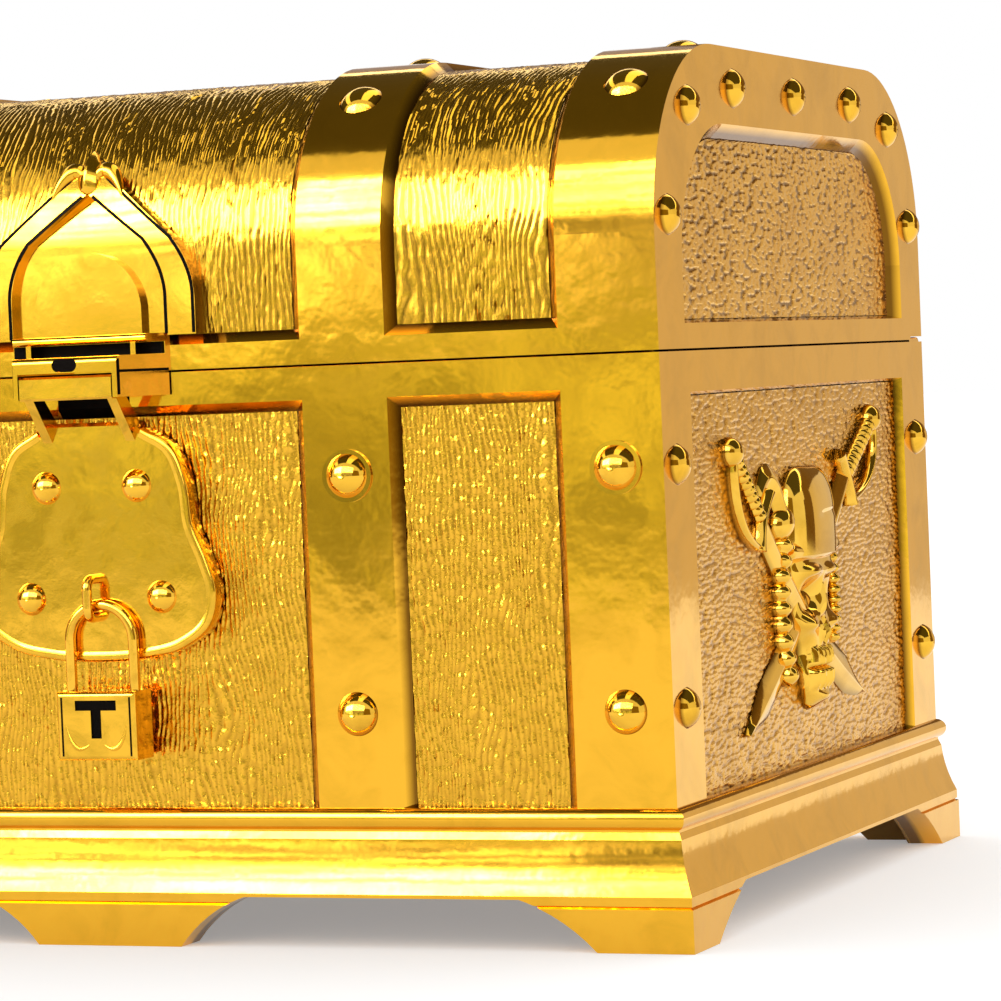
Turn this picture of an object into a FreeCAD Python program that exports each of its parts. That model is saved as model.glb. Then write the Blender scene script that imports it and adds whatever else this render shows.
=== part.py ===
import FreeCAD, Part
import math
import os

# Treasure chest box: a gold plated keepsake chest on bracket feet, with a hinged round-shouldered lid,
# a hasp on the lid and a small padlock hung in the eye of the hasp. Millimetres, Z up, front towards -Y.
# The pieces are drawn about the middle of the box and saved about the middle of the whole object, which
# lies a little further forward because the hasp stands out more than the rear hinges.

V = FreeCAD.Vector

# Box
HALF_LENGTH = 132.0
HALF_DEPTH = 97.7
BOX_BOTTOM = 30.0
BOX_TOP = 125.1
WALL = 5.0
END_WALL = 6.0
FLOOR = 3.0

# Strapwork on the long sides: widths from the corner inwards, and the plain rim above the panels
CORNER_STRAP = 22.3
SIDE_PANEL = 39.65
INNER_STRAP = 19.85
BOX_RIM = 7.2
RECESS = 2.2
INSERT = 1.2
GLUE_GAP = 0.1

# End panels of the box
END_STILE = 18.7
END_RIM = 8.7
END_BEVEL = 0.8

# Lid
SEAM = 0.5
LID_SIDE = 24.8
SHOULDER = 40.7
LID_RIM = 5.4
REAR_NOTCH = 0.8
REAR_NOTCH_DEPTH = 9.7
LIP_HEIGHT = 3.0
LIP_THICKNESS = 1.6
LIP_GAP = 0.4
LID_WALL = 5.0

# End panels of the lid
LID_END_STILE = 16.8
LID_END_RAIL = 17.0
LID_END_CORNER = 30.0
LID_END_RECESS = 3.0
LID_END_FOOT = 0.3

# Base moulding
PLINTH_OUT = 4.0
BEAD_OUT = 2.0
BEAD_BOTTOM = 25.4
GROOVE_OUT = 0.3
GROOVE_Z = 24.9
NECK_OUT = 0.9
NECK_Z = 23.4
COVE_Z = 17.5
COVE_OUT = 1.82
COVE_END_Z = 11.8
COVE_END_OUT = 3.7
FOOT_LINE_Z = 9.5
FOOT_LINE_OUT = 3.2
FOOT_LINE_HALF = 0.3
PLINTH_WALL = 5.0
LEDGE = 14.0
LEDGE_THICKNESS = 4.0

# Bracket feet
SKIRT = 11.0
CENTRE_FOOT_HALF = 17.5
CENTRE_FOOT_TOP = 33.0
CENTRE_FOOT_MID = 24.2
FOOT_MID_Z = 6.6
CORNER_FOOT = 17.6
CORNER_FOOT_MID = 25.6
CORNER_FOOT_SPREAD = 35.1
END_FOOT = 12.0
END_FOOT_MID = 22.1
END_FOOT_SPREAD = 31.7

# Domed studs
STUD_R = 4.75
STUD_H = 3.2
LID_STUD_H = 2.2
END_STUD_R = 4.4
END_STUD_H = 2.9
WASHER_R = 5.7
WASHER_T = 0.6
STUD_SHANK_R = 1.6
STUD_SHANK = 3.4
SHANK_GAP = 0.05
CORNER_STUD_IN = 10.55
STUD_DOWN = 23.7
STUD_UP = 20.2
END_STUD_IN = 8.7
LID_STUD_ANGLE = 52.0
LID_STUD_IN = 12.0
LID_END_STUD_LOW = 3.4
LID_END_STUD_TURN = 31.7
LID_END_STUD_ANGLE = 58.0
LID_END_STUD_DOWN = 9.0
LID_END_STUD_IN = 13.8
SEAT_GAP = 0.15

# Hasp: outwards from the front straps, downwards from the top of the box or of the plate
HASP_AXIS_OUT = 10.6
HASP_AXIS_DOWN = 2.5
BARREL_R = 2.6
BARREL_HALF = 11.2
BARREL_EDGE = 0.5
KNUCKLE_GAP = 0.3
HASP_PIN_R = 1.0
PIN_GAP = 0.05
LUG_ROOT_HALF = 19.2
LUG_NOSE_HALF = 12.6
LUG_FRONT_OUT = 13.2
LUG_CHEEK = 2.3
LUG_BAR_UP = 0.3
LUG_BAR = 3.4
LUG_BAR_ROUND = 1.3
LUG_HEIGHT = 8.2
LUG_RIM_OUT = 6.0
LUG_RIM = 1.8
LUG_SLOT_BACK = 1.2
LUG_POST_X = 13.4
LUG_POST = 1.2
LUG_POST_OUT = 5.2
LUG_STANDOFF = 0.5
LUG_HOLE_R = 1.5
LUG_HOLE_HALF = 1.5
LUG_HOLE_DEPTH = 3.0
ARM_WIDTH = 2.2
PLATE_BACK = 0.4
PLATE_FRONT = 3.0
PLATE_DROP = 7.8
PLATE_HEIGHT = 51.6
PLATE_TOP_HALF = 9.8
PLATE_EDGE = 0.8
ARM_ROOT = 4.2
UPPER_RIVET_X = 11.06
UPPER_RIVET_DOWN = 14.05
LOWER_RIVET_X = 16.0
HASP_STUD_R = 3.6
HASP_STUD_H = 2.4
HASP_SHANK_R = 1.2

# Arch on the lid above the hasp
ARCH_HALF = 26.2
ARCH_SIDE = 15.4
ARCH_RISE = 32.0
ARCH_BAND = 7.6
ARCH_TIP_BAND = 8.0
ARCH_BAND_OUT = 1.2
ARCH_FLOOR_IN = 1.0
TONGUE_HALF = 13.0
TONGUE_RISE = 11.0
TONGUE_OUT = 0.8

# Staple and padlock
STAPLE_WIRE_R = 1.1
STAPLE_HALF = 4.2
STAPLE_BEND = 2.2
STAPLE_DOWN = 38.4
STAPLE_OUT = 7.3
SHACKLE_WIRE_R = 1.2
SHACKLE_HALF = 7.7
HANG_GAP = 0.32
SHACKLE_OUT = 4.75
HANG_SIDE = 1.8
SHORT_LEG = 22.72
LONG_LEG = 31.02
LEG_GAP = 0.08
LOCK_HALF = 9.65
LOCK_HANG = 18.72
LOCK_HEIGHT = 15.0
LOCK_HALF_THICK = 4.4
LOCK_EDGE = 1.0
KEY_BAR_HALF = 5.0
KEY_BAR_DOWN = 1.9
KEY_BAR = 2.2
KEY_STEM_HALF = 1.25
KEY_STEM = 6.1
KEY_DEPTH = 2.8

# Rear hinges
HINGE_OUT = 3.0
HINGE_R = 2.6
HINGE_HALF = 9.0
HINGE_MIDDLE_HALF = 3.4
LEAF_T = 1.2
LEAF_END = 13.5
LEAF_START = 1.2
HINGE_PIN_R = 1.2
HINGE_PIN_HEAD_R = 1.9
HINGE_PIN_HEAD_T = 0.8
HINGE_RIVET_X = 5.0
HINGE_RIVET_Z = 8.5
HINGE_RIVET_R = 1.7
HINGE_RIVET_H = 0.9
HINGE_RIVET_SHANK_R = 0.9
HINGE_RIVET_SHANK = 3.0

# Emblem on the ends, measured from its own middle
EMBLEM_UP = 43.0
EMBLEM_REACH = 90.0
BLADE_WIDTH = 7.0
BLADE_HEIGHT = 2.2
GUARD_HALF = 7.0

# Worked out from the sizes above
SIDE_PANEL_FAR = HALF_LENGTH - CORNER_STRAP
SIDE_PANEL_NEAR = SIDE_PANEL_FAR - SIDE_PANEL
CENTRE_PANEL_EDGE = SIDE_PANEL_NEAR - INNER_STRAP
PANEL_TOP = BOX_TOP - BOX_RIM
END_PANEL_HALF = HALF_DEPTH - END_STILE
END_PANEL_TOP = BOX_TOP - END_RIM
LID_BOTTOM = BOX_TOP + SEAM
LID_PANEL_BOTTOM = LID_BOTTOM + LID_RIM
LID_SPRING = LID_BOTTOM + LID_SIDE
LID_TOP = LID_SPRING + SHOULDER
LID_END_HALF = HALF_DEPTH - LID_END_STILE
LID_END_TOP = LID_TOP - LID_END_RAIL
INNER_STRAP_X = CENTRE_PANEL_EDGE + INNER_STRAP / 2.0
CORNER_STRAP_X = HALF_LENGTH - CORNER_STUD_IN
STUD_HIGH_Z = BOX_TOP - STUD_DOWN
STUD_LOW_Z = BOX_BOTTOM + STUD_UP
END_STUD_Y = HALF_DEPTH - END_STUD_IN
SHOULDER_Y = HALF_DEPTH - SHOULDER
LID_STUD_Y = SHOULDER_Y - LID_STUD_IN
HINGE_Y = HALF_DEPTH + HINGE_OUT
HINGE_Z = BOX_TOP + SEAM / 2.0
HASP_AXIS_Z = BOX_TOP - HASP_AXIS_DOWN
LUG_BOTTOM = HASP_AXIS_Z - LUG_CHEEK
LUG_BAR_BOTTOM = LID_BOTTOM + LUG_BAR_UP
LUG_BAR_TOP = LUG_BAR_BOTTOM + LUG_BAR
LUG_TOP = LID_BOTTOM + LUG_HEIGHT
PLATE_TOP = HASP_AXIS_Z - PLATE_DROP
ARCH_SPRING = LID_BOTTOM + ARCH_SIDE
ARCH_APEX = ARCH_SPRING + ARCH_RISE
ARCH_IN_HALF = ARCH_HALF - ARCH_BAND
ARCH_IN_APEX = ARCH_APEX - ARCH_TIP_BAND
TONGUE_TOP = ARCH_SPRING + TONGUE_RISE
STAPLE_Z = PLATE_TOP - STAPLE_DOWN
BARREL_TURN_R = math.hypot(BARREL_R, BARREL_R - BARREL_EDGE) + KNUCKLE_GAP
HANG_DIP = SHACKLE_HALF - math.sqrt(SHACKLE_HALF ** 2 - HANG_SIDE ** 2)
SHACKLE_TOP = STAPLE_Z - STAPLE_HALF + STAPLE_WIRE_R + HANG_GAP + SHACKLE_WIRE_R + HANG_DIP
SHORT_LEG_END = SHACKLE_TOP - SHORT_LEG
LONG_LEG_END = SHACKLE_TOP - LONG_LEG
LOCK_TOP = SHACKLE_TOP - LOCK_HANG
LOCK_BOTTOM = LOCK_TOP - LOCK_HEIGHT
KEY_BAR_TOP = LOCK_TOP - KEY_BAR_DOWN
KEY_BAR_BOTTOM = KEY_BAR_TOP - KEY_BAR
KEY_STEM_BOTTOM = KEY_BAR_BOTTOM - KEY_STEM
MIDDLE_SHIFT = (LUG_FRONT_OUT - HINGE_OUT - HINGE_R) / 2.0
ON_FRONT = FreeCAD.Rotation(V(0, 0, 1), V(0, -1, 0))
ON_BACK = FreeCAD.Rotation(V(0, 0, 1), V(0, 1, 0))
ON_RIGHT = FreeCAD.Rotation(V(1, 1, 1), 120)


def save(name, shape):
    moved = shape.copy()
    moved.translate(V(0, MIDDLE_SHIFT, 0))
    moved.exportStep("parts/" + name + ".step")


def box(x0, x1, y0, y1, z0, z1):
    return Part.makeBox(x1 - x0, y1 - y0, z1 - z0, V(x0, y0, z0))


def line(a, b):
    return Part.LineSegment(a, b).toShape()


def arc(a, b, c):
    return Part.Arc(a, b, c).toShape()


def extrude(edges, direction):
    return Part.Face(Part.Wire(edges)).extrude(direction)


def polygon(points, direction):
    return Part.Face(Part.makePolygon(points + points[:1])).extrude(direction)


def rod(a, b, radius):
    return Part.makeCylinder(radius, (b - a).Length, a, b - a)


def placed(shape, position, rotation):
    copy = shape.copy()
    copy.Placement = FreeCAD.Placement(position, rotation)
    return copy


def to_back(shape):
    return shape.mirror(V(0, 0, 0), V(0, 1, 0))


def to_left(shape):
    return shape.mirror(V(0, 0, 0), V(1, 0, 0))


def half_turn(shape):
    copy = shape.copy()
    copy.rotate(V(0, 0, 0), V(0, 0, 1), 180)
    return copy


def out(distance):
    return -HALF_DEPTH - distance


# Studs

def dome(radius, height):
    """Round head: part of a sphere standing on z = 0."""
    sphere = (radius ** 2 + height ** 2) / (2.0 * height)
    top = V(0, 0, height)
    middle = V(sphere * math.sin(0.5 * math.asin(radius / sphere)), 0,
               height - sphere + sphere * math.cos(0.5 * math.asin(radius / sphere)))
    edge = V(radius, 0, 0)
    foot = V(0, 0, 0)
    face = Part.Face(Part.Wire([arc(top, middle, edge), line(edge, foot), line(foot, top)]))
    return face.revolve(foot, V(0, 0, 1), 360)


def stud(radius, height, shank_r, shank, washer_r):
    """Domed stud with a shank below z = 0 and, where washer_r is set, a flat collar under the dome."""
    head = dome(radius, height)
    if washer_r:
        head.translate(V(0, 0, WASHER_T))
        head = head.fuse(Part.makeCylinder(washer_r, WASHER_T))
    return head.fuse(Part.makeCylinder(shank_r, shank, V(0, 0, -shank))).removeSplitter()


def stud_hole(shank_r, shank):
    return Part.makeCylinder(shank_r + SHANK_GAP, shank + 1.2, V(0, 0, -shank - 0.2))


def plain_stud():
    return stud(STUD_R, STUD_H, STUD_SHANK_R, STUD_SHANK, 0)


def lid_stud():
    return stud(STUD_R, LID_STUD_H, STUD_SHANK_R, STUD_SHANK, 0)


def end_stud():
    return stud(END_STUD_R, END_STUD_H, STUD_SHANK_R, STUD_SHANK, 0)


def collared_stud():
    return stud(STUD_R, STUD_H, STUD_SHANK_R, STUD_SHANK, WASHER_R)


def front_stud_spots(z):
    return [V(side * x, -HALF_DEPTH, z) for side in (-1, 1) for x in (INNER_STRAP_X, CORNER_STRAP_X)]


def front_studs():
    high = [placed(collared_stud(), spot, ON_FRONT) for spot in front_stud_spots(STUD_HIGH_Z)]
    low = [placed(plain_stud(), spot, ON_FRONT) for spot in front_stud_spots(STUD_LOW_Z)]
    return high + low


def front_stud_holes():
    hole = stud_hole(STUD_SHANK_R, STUD_SHANK)
    spots = front_stud_spots(STUD_HIGH_Z) + front_stud_spots(STUD_LOW_Z)
    return [placed(hole, spot, ON_FRONT) for spot in spots]


def right_end_spots():
    return [V(HALF_LENGTH, side * END_STUD_Y, z) for side in (-1, 1) for z in (STUD_HIGH_Z, STUD_LOW_Z)]


def right_end_set(piece):
    return [placed(piece, spot, ON_RIGHT) for spot in right_end_spots()]


def lid_end_spots():
    angle = math.radians(LID_END_STUD_ANGLE)
    turn = LID_END_STUD_TURN
    row = LID_TOP - LID_END_STUD_DOWN
    pairs = [(END_STUD_Y, LID_SPRING + LID_END_STUD_LOW),
             (SHOULDER_Y + turn * math.cos(angle), LID_SPRING + turn * math.sin(angle)),
             (SHOULDER_Y - LID_END_STUD_IN, row)]
    spots = [V(HALF_LENGTH, side * y, z) for y, z in pairs for side in (-1, 1)]
    return spots + [V(HALF_LENGTH, 0, row)]


def lid_strap_set(piece):
    """One piece per stud place on the lid straps: two on the shoulders and three along the top."""
    angle = math.radians(LID_STUD_ANGLE)
    level = SHOULDER - SEAT_GAP
    pieces = []
    for x in (-CORNER_STRAP_X, -INNER_STRAP_X, INNER_STRAP_X, CORNER_STRAP_X):
        for side in (-1, 1):
            normal = V(0, side * math.cos(angle), math.sin(angle))
            spot = V(x, side * SHOULDER_Y, LID_SPRING) + normal * level
            pieces.append(placed(piece, spot, FreeCAD.Rotation(V(0, 0, 1), normal)))
        for y in (-LID_STUD_Y, 0, LID_STUD_Y):
            pieces.append(placed(piece, V(x, y, LID_TOP), FreeCAD.Rotation()))
    return pieces


# Box

def front_recess(x0, x1):
    """Panel recess in the front wall: a bevel down to the panel, then a pocket for the let-in panel."""
    y = -HALF_DEPTH
    mouth = [V(x0, y, BOX_BOTTOM), V(x1, y, BOX_BOTTOM), V(x1, y, PANEL_TOP), V(x0, y, PANEL_TOP)]
    a, b, top = x0 + RECESS, x1 - RECESS, PANEL_TOP - RECESS
    inner = y + RECESS
    floor = [V(a, inner, BOX_BOTTOM), V(b, inner, BOX_BOTTOM), V(b, inner, top), V(a, inner, top)]
    wires = [Part.makePolygon(p + p[:1]) for p in (mouth, floor)]
    return Part.makeLoft(wires, True, True).fuse(box(a, b, inner, inner + INSERT, BOX_BOTTOM, top))


def front_panel(x0, x1):
    a = x0 + RECESS + GLUE_GAP
    b = x1 - RECESS - GLUE_GAP
    y = -HALF_DEPTH + RECESS
    return box(a, b, y, y + INSERT, BOX_BOTTOM, PANEL_TOP - RECESS - GLUE_GAP)


def end_recess():
    x = HALF_LENGTH
    half = END_PANEL_HALF
    mouth = [V(x, -half, BOX_BOTTOM), V(x, half, BOX_BOTTOM), V(x, half, END_PANEL_TOP),
             V(x, -half, END_PANEL_TOP)]
    inner = half - END_BEVEL
    top = END_PANEL_TOP - END_BEVEL
    x = HALF_LENGTH - RECESS
    floor = [V(x, -inner, BOX_BOTTOM), V(x, inner, BOX_BOTTOM), V(x, inner, top), V(x, -inner, top)]
    wires = [Part.makePolygon(p + p[:1]) for p in (mouth, floor)]
    return Part.makeLoft(wires, True, True).fuse(box(x - INSERT, x, -inner, inner, BOX_BOTTOM, top))


def end_panel():
    half = END_PANEL_HALF - END_BEVEL - GLUE_GAP
    x = HALF_LENGTH - RECESS
    return box(x - INSERT, x, -half, half, BOX_BOTTOM, END_PANEL_TOP - END_BEVEL - GLUE_GAP)


def panel_spans():
    near, far = SIDE_PANEL_NEAR, SIDE_PANEL_FAR
    return {"left": (-far, -near), "centre": (-CENTRE_PANEL_EDGE, CENTRE_PANEL_EDGE), "right": (near, far)}


def lip():
    """Low inner lip along the front and the ends, which stands up inside the closed lid."""
    x = HALF_LENGTH - END_WALL - LIP_GAP
    y = -HALF_DEPTH + WALL + LIP_GAP
    back = HALF_DEPTH - WALL - 2.0 * REAR_NOTCH_DEPTH
    low = BOX_TOP - LIP_HEIGHT
    outer = box(-x, x, y, back, low, BOX_TOP + LIP_HEIGHT)
    inner = box(-x + LIP_THICKNESS, x - LIP_THICKNESS, y + LIP_THICKNESS, back, low, BOX_TOP + LIP_HEIGHT)
    foot = box(-x - LIP_GAP, x + LIP_GAP, y - LIP_GAP, back, low, BOX_TOP)
    return outer.fuse(foot.cut(outer)).cut(inner)


def chest_shell():
    shell = box(-HALF_LENGTH, HALF_LENGTH, -HALF_DEPTH, HALF_DEPTH, BOX_BOTTOM, BOX_TOP)
    x = HALF_LENGTH - END_WALL
    y = HALF_DEPTH - WALL
    shell = shell.cut(box(-x, x, -y, y, BOX_BOTTOM + FLOOR, BOX_TOP))
    front = [front_recess(*span) for span in panel_spans().values()]
    front += front_stud_holes()
    right = [end_recess()] + right_end_set(stud_hole(STUD_SHANK_R, STUD_SHANK))
    back = [to_back(tool) for tool in front]
    back += hinge_rivet_set(-1, stud_hole(HINGE_RIVET_SHANK_R, HINGE_RIVET_SHANK))
    left = [half_turn(tool) for tool in right]
    shell = shell.cut(front + back + right + left)
    return shell.fuse(lip()).removeSplitter()


# Base

def plinth_side(half):
    """Outline of the moulding across the base, as (distance from the middle, height) from foot to top."""
    return [(half + PLINTH_OUT, 0), (half + PLINTH_OUT, FOOT_LINE_Z - FOOT_LINE_HALF),
            (half + FOOT_LINE_OUT, FOOT_LINE_Z), (half + COVE_END_OUT, FOOT_LINE_Z + FOOT_LINE_HALF),
            (half + COVE_END_OUT, COVE_END_Z), (half + COVE_OUT, COVE_Z), (half + NECK_OUT, NECK_Z),
            (half + GROOVE_OUT, GROOVE_Z), (half + GROOVE_OUT, BEAD_BOTTOM),
            (half + BEAD_OUT, 0.5 * (BEAD_BOTTOM + BOX_BOTTOM)), (half + GROOVE_OUT, BOX_BOTTOM)]


def plinth_block(half, place, direction):
    """Solid bar with the moulding on both sides; place turns (distance, height) into a point."""
    right = [place(d, z) for d, z in plinth_side(half)]
    left = [place(-d, z) for d, z in plinth_side(half)]
    edges = []
    for p in (right, left):
        edges += [line(p[i], p[i + 1]) for i in (0, 1, 2, 3)]
        edges.append(arc(p[4], p[5], p[6]))
        edges += [line(p[6], p[7]), line(p[7], p[8])]
        edges.append(arc(p[8], p[9], p[10]))
    edges.append(line(right[-1], left[-1]))
    edges.append(line(left[0], right[0]))
    return extrude(Part.__sortEdges__(edges), direction)


def long_arch():
    """Opening between the middle foot and a corner foot, cut through front and back."""
    y = -HALF_DEPTH - 20.0
    p = [V(CENTRE_FOOT_HALF, y, 0), V(CENTRE_FOOT_MID, y, FOOT_MID_Z), V(CENTRE_FOOT_TOP, y, SKIRT),
         V(HALF_LENGTH - CORNER_FOOT_SPREAD, y, SKIRT), V(HALF_LENGTH - CORNER_FOOT_MID, y, FOOT_MID_Z),
         V(HALF_LENGTH - CORNER_FOOT, y, 0)]
    edges = [arc(p[0], p[1], p[2]), line(p[2], p[3]), arc(p[3], p[4], p[5]), line(p[5], p[0])]
    return extrude(edges, V(0, 2.0 * (HALF_DEPTH + 20.0), 0))


def end_arch():
    x = -HALF_LENGTH - 20.0
    foot = [HALF_DEPTH - END_FOOT, HALF_DEPTH - END_FOOT_MID, HALF_DEPTH - END_FOOT_SPREAD]
    p = [V(x, -foot[0], 0), V(x, -foot[1], FOOT_MID_Z), V(x, -foot[2], SKIRT), V(x, foot[2], SKIRT),
         V(x, foot[1], FOOT_MID_Z), V(x, foot[0], 0)]
    edges = [arc(p[0], p[1], p[2]), line(p[2], p[3]), arc(p[3], p[4], p[5]), line(p[5], p[0])]
    return extrude(edges, V(2.0 * (HALF_LENGTH + 20.0), 0, 0))


def base_plinth():
    reach = HALF_LENGTH + 10.0
    along = plinth_block(HALF_DEPTH, lambda d, z: V(-reach, d, z), V(2.0 * reach, 0, 0))
    reach_y = HALF_DEPTH + 10.0
    across = plinth_block(HALF_LENGTH, lambda d, z: V(d, -reach_y, z), V(0, 2.0 * reach_y, 0))
    base = along.common(across)
    x = HALF_LENGTH - PLINTH_WALL
    y = HALF_DEPTH - PLINTH_WALL
    base = base.cut(box(-x, x, -y, y, 0, BOX_BOTTOM - LEDGE_THICKNESS))
    x = HALF_LENGTH - LEDGE
    y = HALF_DEPTH - LEDGE
    base = base.cut(box(-x, x, -y, y, 0, BOX_BOTTOM))
    return base.cut([long_arch(), to_left(long_arch()), end_arch()]).removeSplitter()


# Lid

def lid_bar(grow, x0, x1, bottom):
    """Solid with the lid's cross-section, grown outwards by grow, from x0 to x1 and from bottom up."""
    side = HALF_DEPTH + grow
    turn = (SHOULDER + grow) * math.sqrt(0.5)
    top = LID_TOP + grow
    right = [V(x0, side, bottom), V(x0, side, LID_SPRING), V(x0, SHOULDER_Y + turn, LID_SPRING + turn),
             V(x0, SHOULDER_Y, top)]
    left = [V(p.x, -p.y, p.z) for p in right]
    edges = [line(right[0], right[1]), arc(right[1], right[2], right[3]), line(right[3], left[3]),
             arc(left[3], left[2], left[1]), line(left[1], left[0]), line(left[0], right[0])]
    return extrude(edges, V(x1 - x0, 0, 0))


def lid_layer(inner, outer, x0, x1, bottom):
    return lid_bar(outer, x0, x1, bottom).cut(lid_bar(inner, x0 - 1, x1 + 1, bottom - 1))


def lid_recess(x0, x1):
    bottom = LID_PANEL_BOTTOM + RECESS
    return lid_layer(-RECESS - INSERT, 8.0, x0 + RECESS, x1 - RECESS, bottom)


def lid_panel(x0, x1):
    a = x0 + RECESS + GLUE_GAP
    b = x1 - RECESS - GLUE_GAP
    return lid_layer(-RECESS - INSERT, -RECESS, a, b, LID_PANEL_BOTTOM + RECESS + GLUE_GAP)


def on_lid_skin(point):
    if point.z <= LID_SPRING:
        return abs(abs(point.y) - HALF_DEPTH) < 0.01
    if abs(point.y) <= SHOULDER_Y:
        return abs(point.z - LID_TOP) < 0.01
    return abs(math.hypot(abs(point.y) - SHOULDER_Y, point.z - LID_SPRING) - SHOULDER) < 0.01


def recess_edges(shape, x0, x1):
    """Edges where a recess between x0 and x1 breaks the outside of the lid."""
    found = []
    for edge in shape.Edges:
        ends = [edge.valueAt(t) for t in (edge.FirstParameter, edge.LastParameter)]
        inside = all(x0 - 0.01 < p.x < x1 + 0.01 for p in ends)
        if inside and all(on_lid_skin(p) and p.z > LID_BOTTOM + 1 for p in ends):
            found.append(edge)
    return found


def lid_end_outline(shrink, x):
    """Edges of the lid end panel: flat foot, straight sides, round top corners."""
    half = LID_END_HALF - shrink
    top = LID_END_TOP - shrink
    radius = LID_END_CORNER - shrink
    low = LID_PANEL_BOTTOM + shrink * LID_END_FOOT
    cy = LID_END_HALF - LID_END_CORNER
    cz = LID_END_TOP - LID_END_CORNER
    turn = radius * math.sqrt(0.5)
    right = [V(x, half, low), V(x, half, cz), V(x, cy + turn, cz + turn), V(x, cy, top)]
    left = [V(p.x, -p.y, p.z) for p in right]
    return Part.Wire([line(right[0], right[1]), arc(right[1], right[2], right[3]), line(right[3], left[3]),
                      arc(left[3], left[2], left[1]), line(left[1], left[0]), line(left[0], right[0])])


def lid_end_recess():
    inner = HALF_LENGTH - LID_END_RECESS
    wires = [lid_end_outline(0, HALF_LENGTH), lid_end_outline(LID_END_RECESS, inner)]
    pocket = Part.Face(lid_end_outline(LID_END_RECESS, inner - INSERT)).extrude(V(INSERT, 0, 0))
    return Part.makeLoft(wires, True, True).fuse(pocket)


def lid_end_panel():
    outline = lid_end_outline(LID_END_RECESS + GLUE_GAP, HALF_LENGTH - LID_END_RECESS - INSERT)
    return Part.Face(outline).extrude(V(INSERT, 0, 0))


def lid_shell():
    lid = lid_bar(0, -HALF_LENGTH, HALF_LENGTH, LID_BOTTOM)
    lid = lid.cut([lid_recess(*span) for span in panel_spans().values()])
    for x0, x1 in panel_spans().values():
        lid = lid.makeChamfer(RECESS - 0.02, recess_edges(lid, x0 + RECESS, x1 - RECESS))
    inside = HALF_LENGTH - END_WALL
    lid = lid.cut(lid_bar(-LID_WALL, -inside, inside, LID_BOTTOM))
    notch = box(-HALF_LENGTH, HALF_LENGTH, HALF_DEPTH - REAR_NOTCH_DEPTH, HALF_DEPTH, LID_BOTTOM,
                LID_BOTTOM + REAR_NOTCH)
    seats = [Part.makeCylinder(STUD_R + GLUE_GAP, 2.0)] + [stud_hole(STUD_SHANK_R, STUD_SHANK)]
    straps = lid_strap_set(seats[0]) + lid_strap_set(seats[1])
    ends = [placed(seats[1], spot, ON_RIGHT) for spot in lid_end_spots()] + [lid_end_recess()]
    ends += [half_turn(tool) for tool in ends]
    rivets = hinge_rivet_set(1, stud_hole(HINGE_RIVET_SHANK_R, HINGE_RIVET_SHANK))
    return lid.cut([notch] + straps + ends + rivets).removeSplitter()


# Arch, lug and hasp

def arch_face(half, apex, bottom):
    """Pointed arch in the plane of the front: upright sides, rounded haunches, straight rise to the point."""
    y = out(20.0)
    rise = ARCH_SPRING + 13.5
    right = [V(half, y, bottom), V(half, y, ARCH_SPRING), V(half - 1.3, y, ARCH_SPRING + 7.2),
             V(half - 5.0, y, rise)]
    left = [V(-p.x, p.y, p.z) for p in right]
    tip = V(0, y, apex)
    edges = [line(right[0], right[1]), arc(right[1], right[2], right[3]), line(right[3], tip),
             line(tip, left[3]), arc(left[3], left[2], left[1]), line(left[1], left[0]),
             line(left[0], right[0])]
    return extrude(edges, V(0, 70.0, 0))


def tongue_block():
    y = out(20.0)
    half = TONGUE_HALF
    shoulder = TONGUE_TOP - half
    p = [V(half, y, LID_PANEL_BOTTOM), V(half, y, shoulder), V(0, y, TONGUE_TOP), V(-half, y, shoulder),
         V(-half, y, LID_PANEL_BOTTOM)]
    edges = [line(p[0], p[1]), arc(p[1], p[2], p[3]), line(p[3], p[4]), line(p[4], p[0])]
    return extrude(edges, V(0, 70.0, 0))


def latch_arch():
    """Raised pointed-arch plate that follows the curve of the lid, with a sunk field and a raised tongue."""
    foot = LID_PANEL_BOTTOM + RECESS + GLUE_GAP
    reach = ARCH_HALF + 5.0
    plate = arch_face(ARCH_HALF, ARCH_APEX, foot)
    band = plate.cut(arch_face(ARCH_IN_HALF, ARCH_IN_APEX, foot - 1.0))
    whole = band.common(lid_layer(-RECESS, ARCH_BAND_OUT, -reach, reach, foot))
    whole = whole.fuse(plate.common(lid_layer(-RECESS, -ARCH_FLOOR_IN, -reach, reach, foot)))
    whole = whole.fuse(tongue_block().common(lid_layer(-RECESS, TONGUE_OUT, -reach, reach, foot)))
    return whole.cut(lug_room()).removeSplitter()


def lug_room():
    half = LUG_ROOT_HALF + GLUE_GAP
    return box(-half, half, out(20.0), out(-1.0), LID_BOTTOM, LUG_TOP + GLUE_GAP)


def lug_plan(bottom, top):
    """Lug seen from above: wide at the lid and narrower at the nose."""
    points = [V(-LUG_ROOT_HALF, out(0), bottom), V(-LUG_NOSE_HALF, out(LUG_FRONT_OUT), bottom),
              V(LUG_NOSE_HALF, out(LUG_FRONT_OUT), bottom), V(LUG_ROOT_HALF, out(0), bottom)]
    return polygon(points, V(0, 0, top - bottom))


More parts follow.
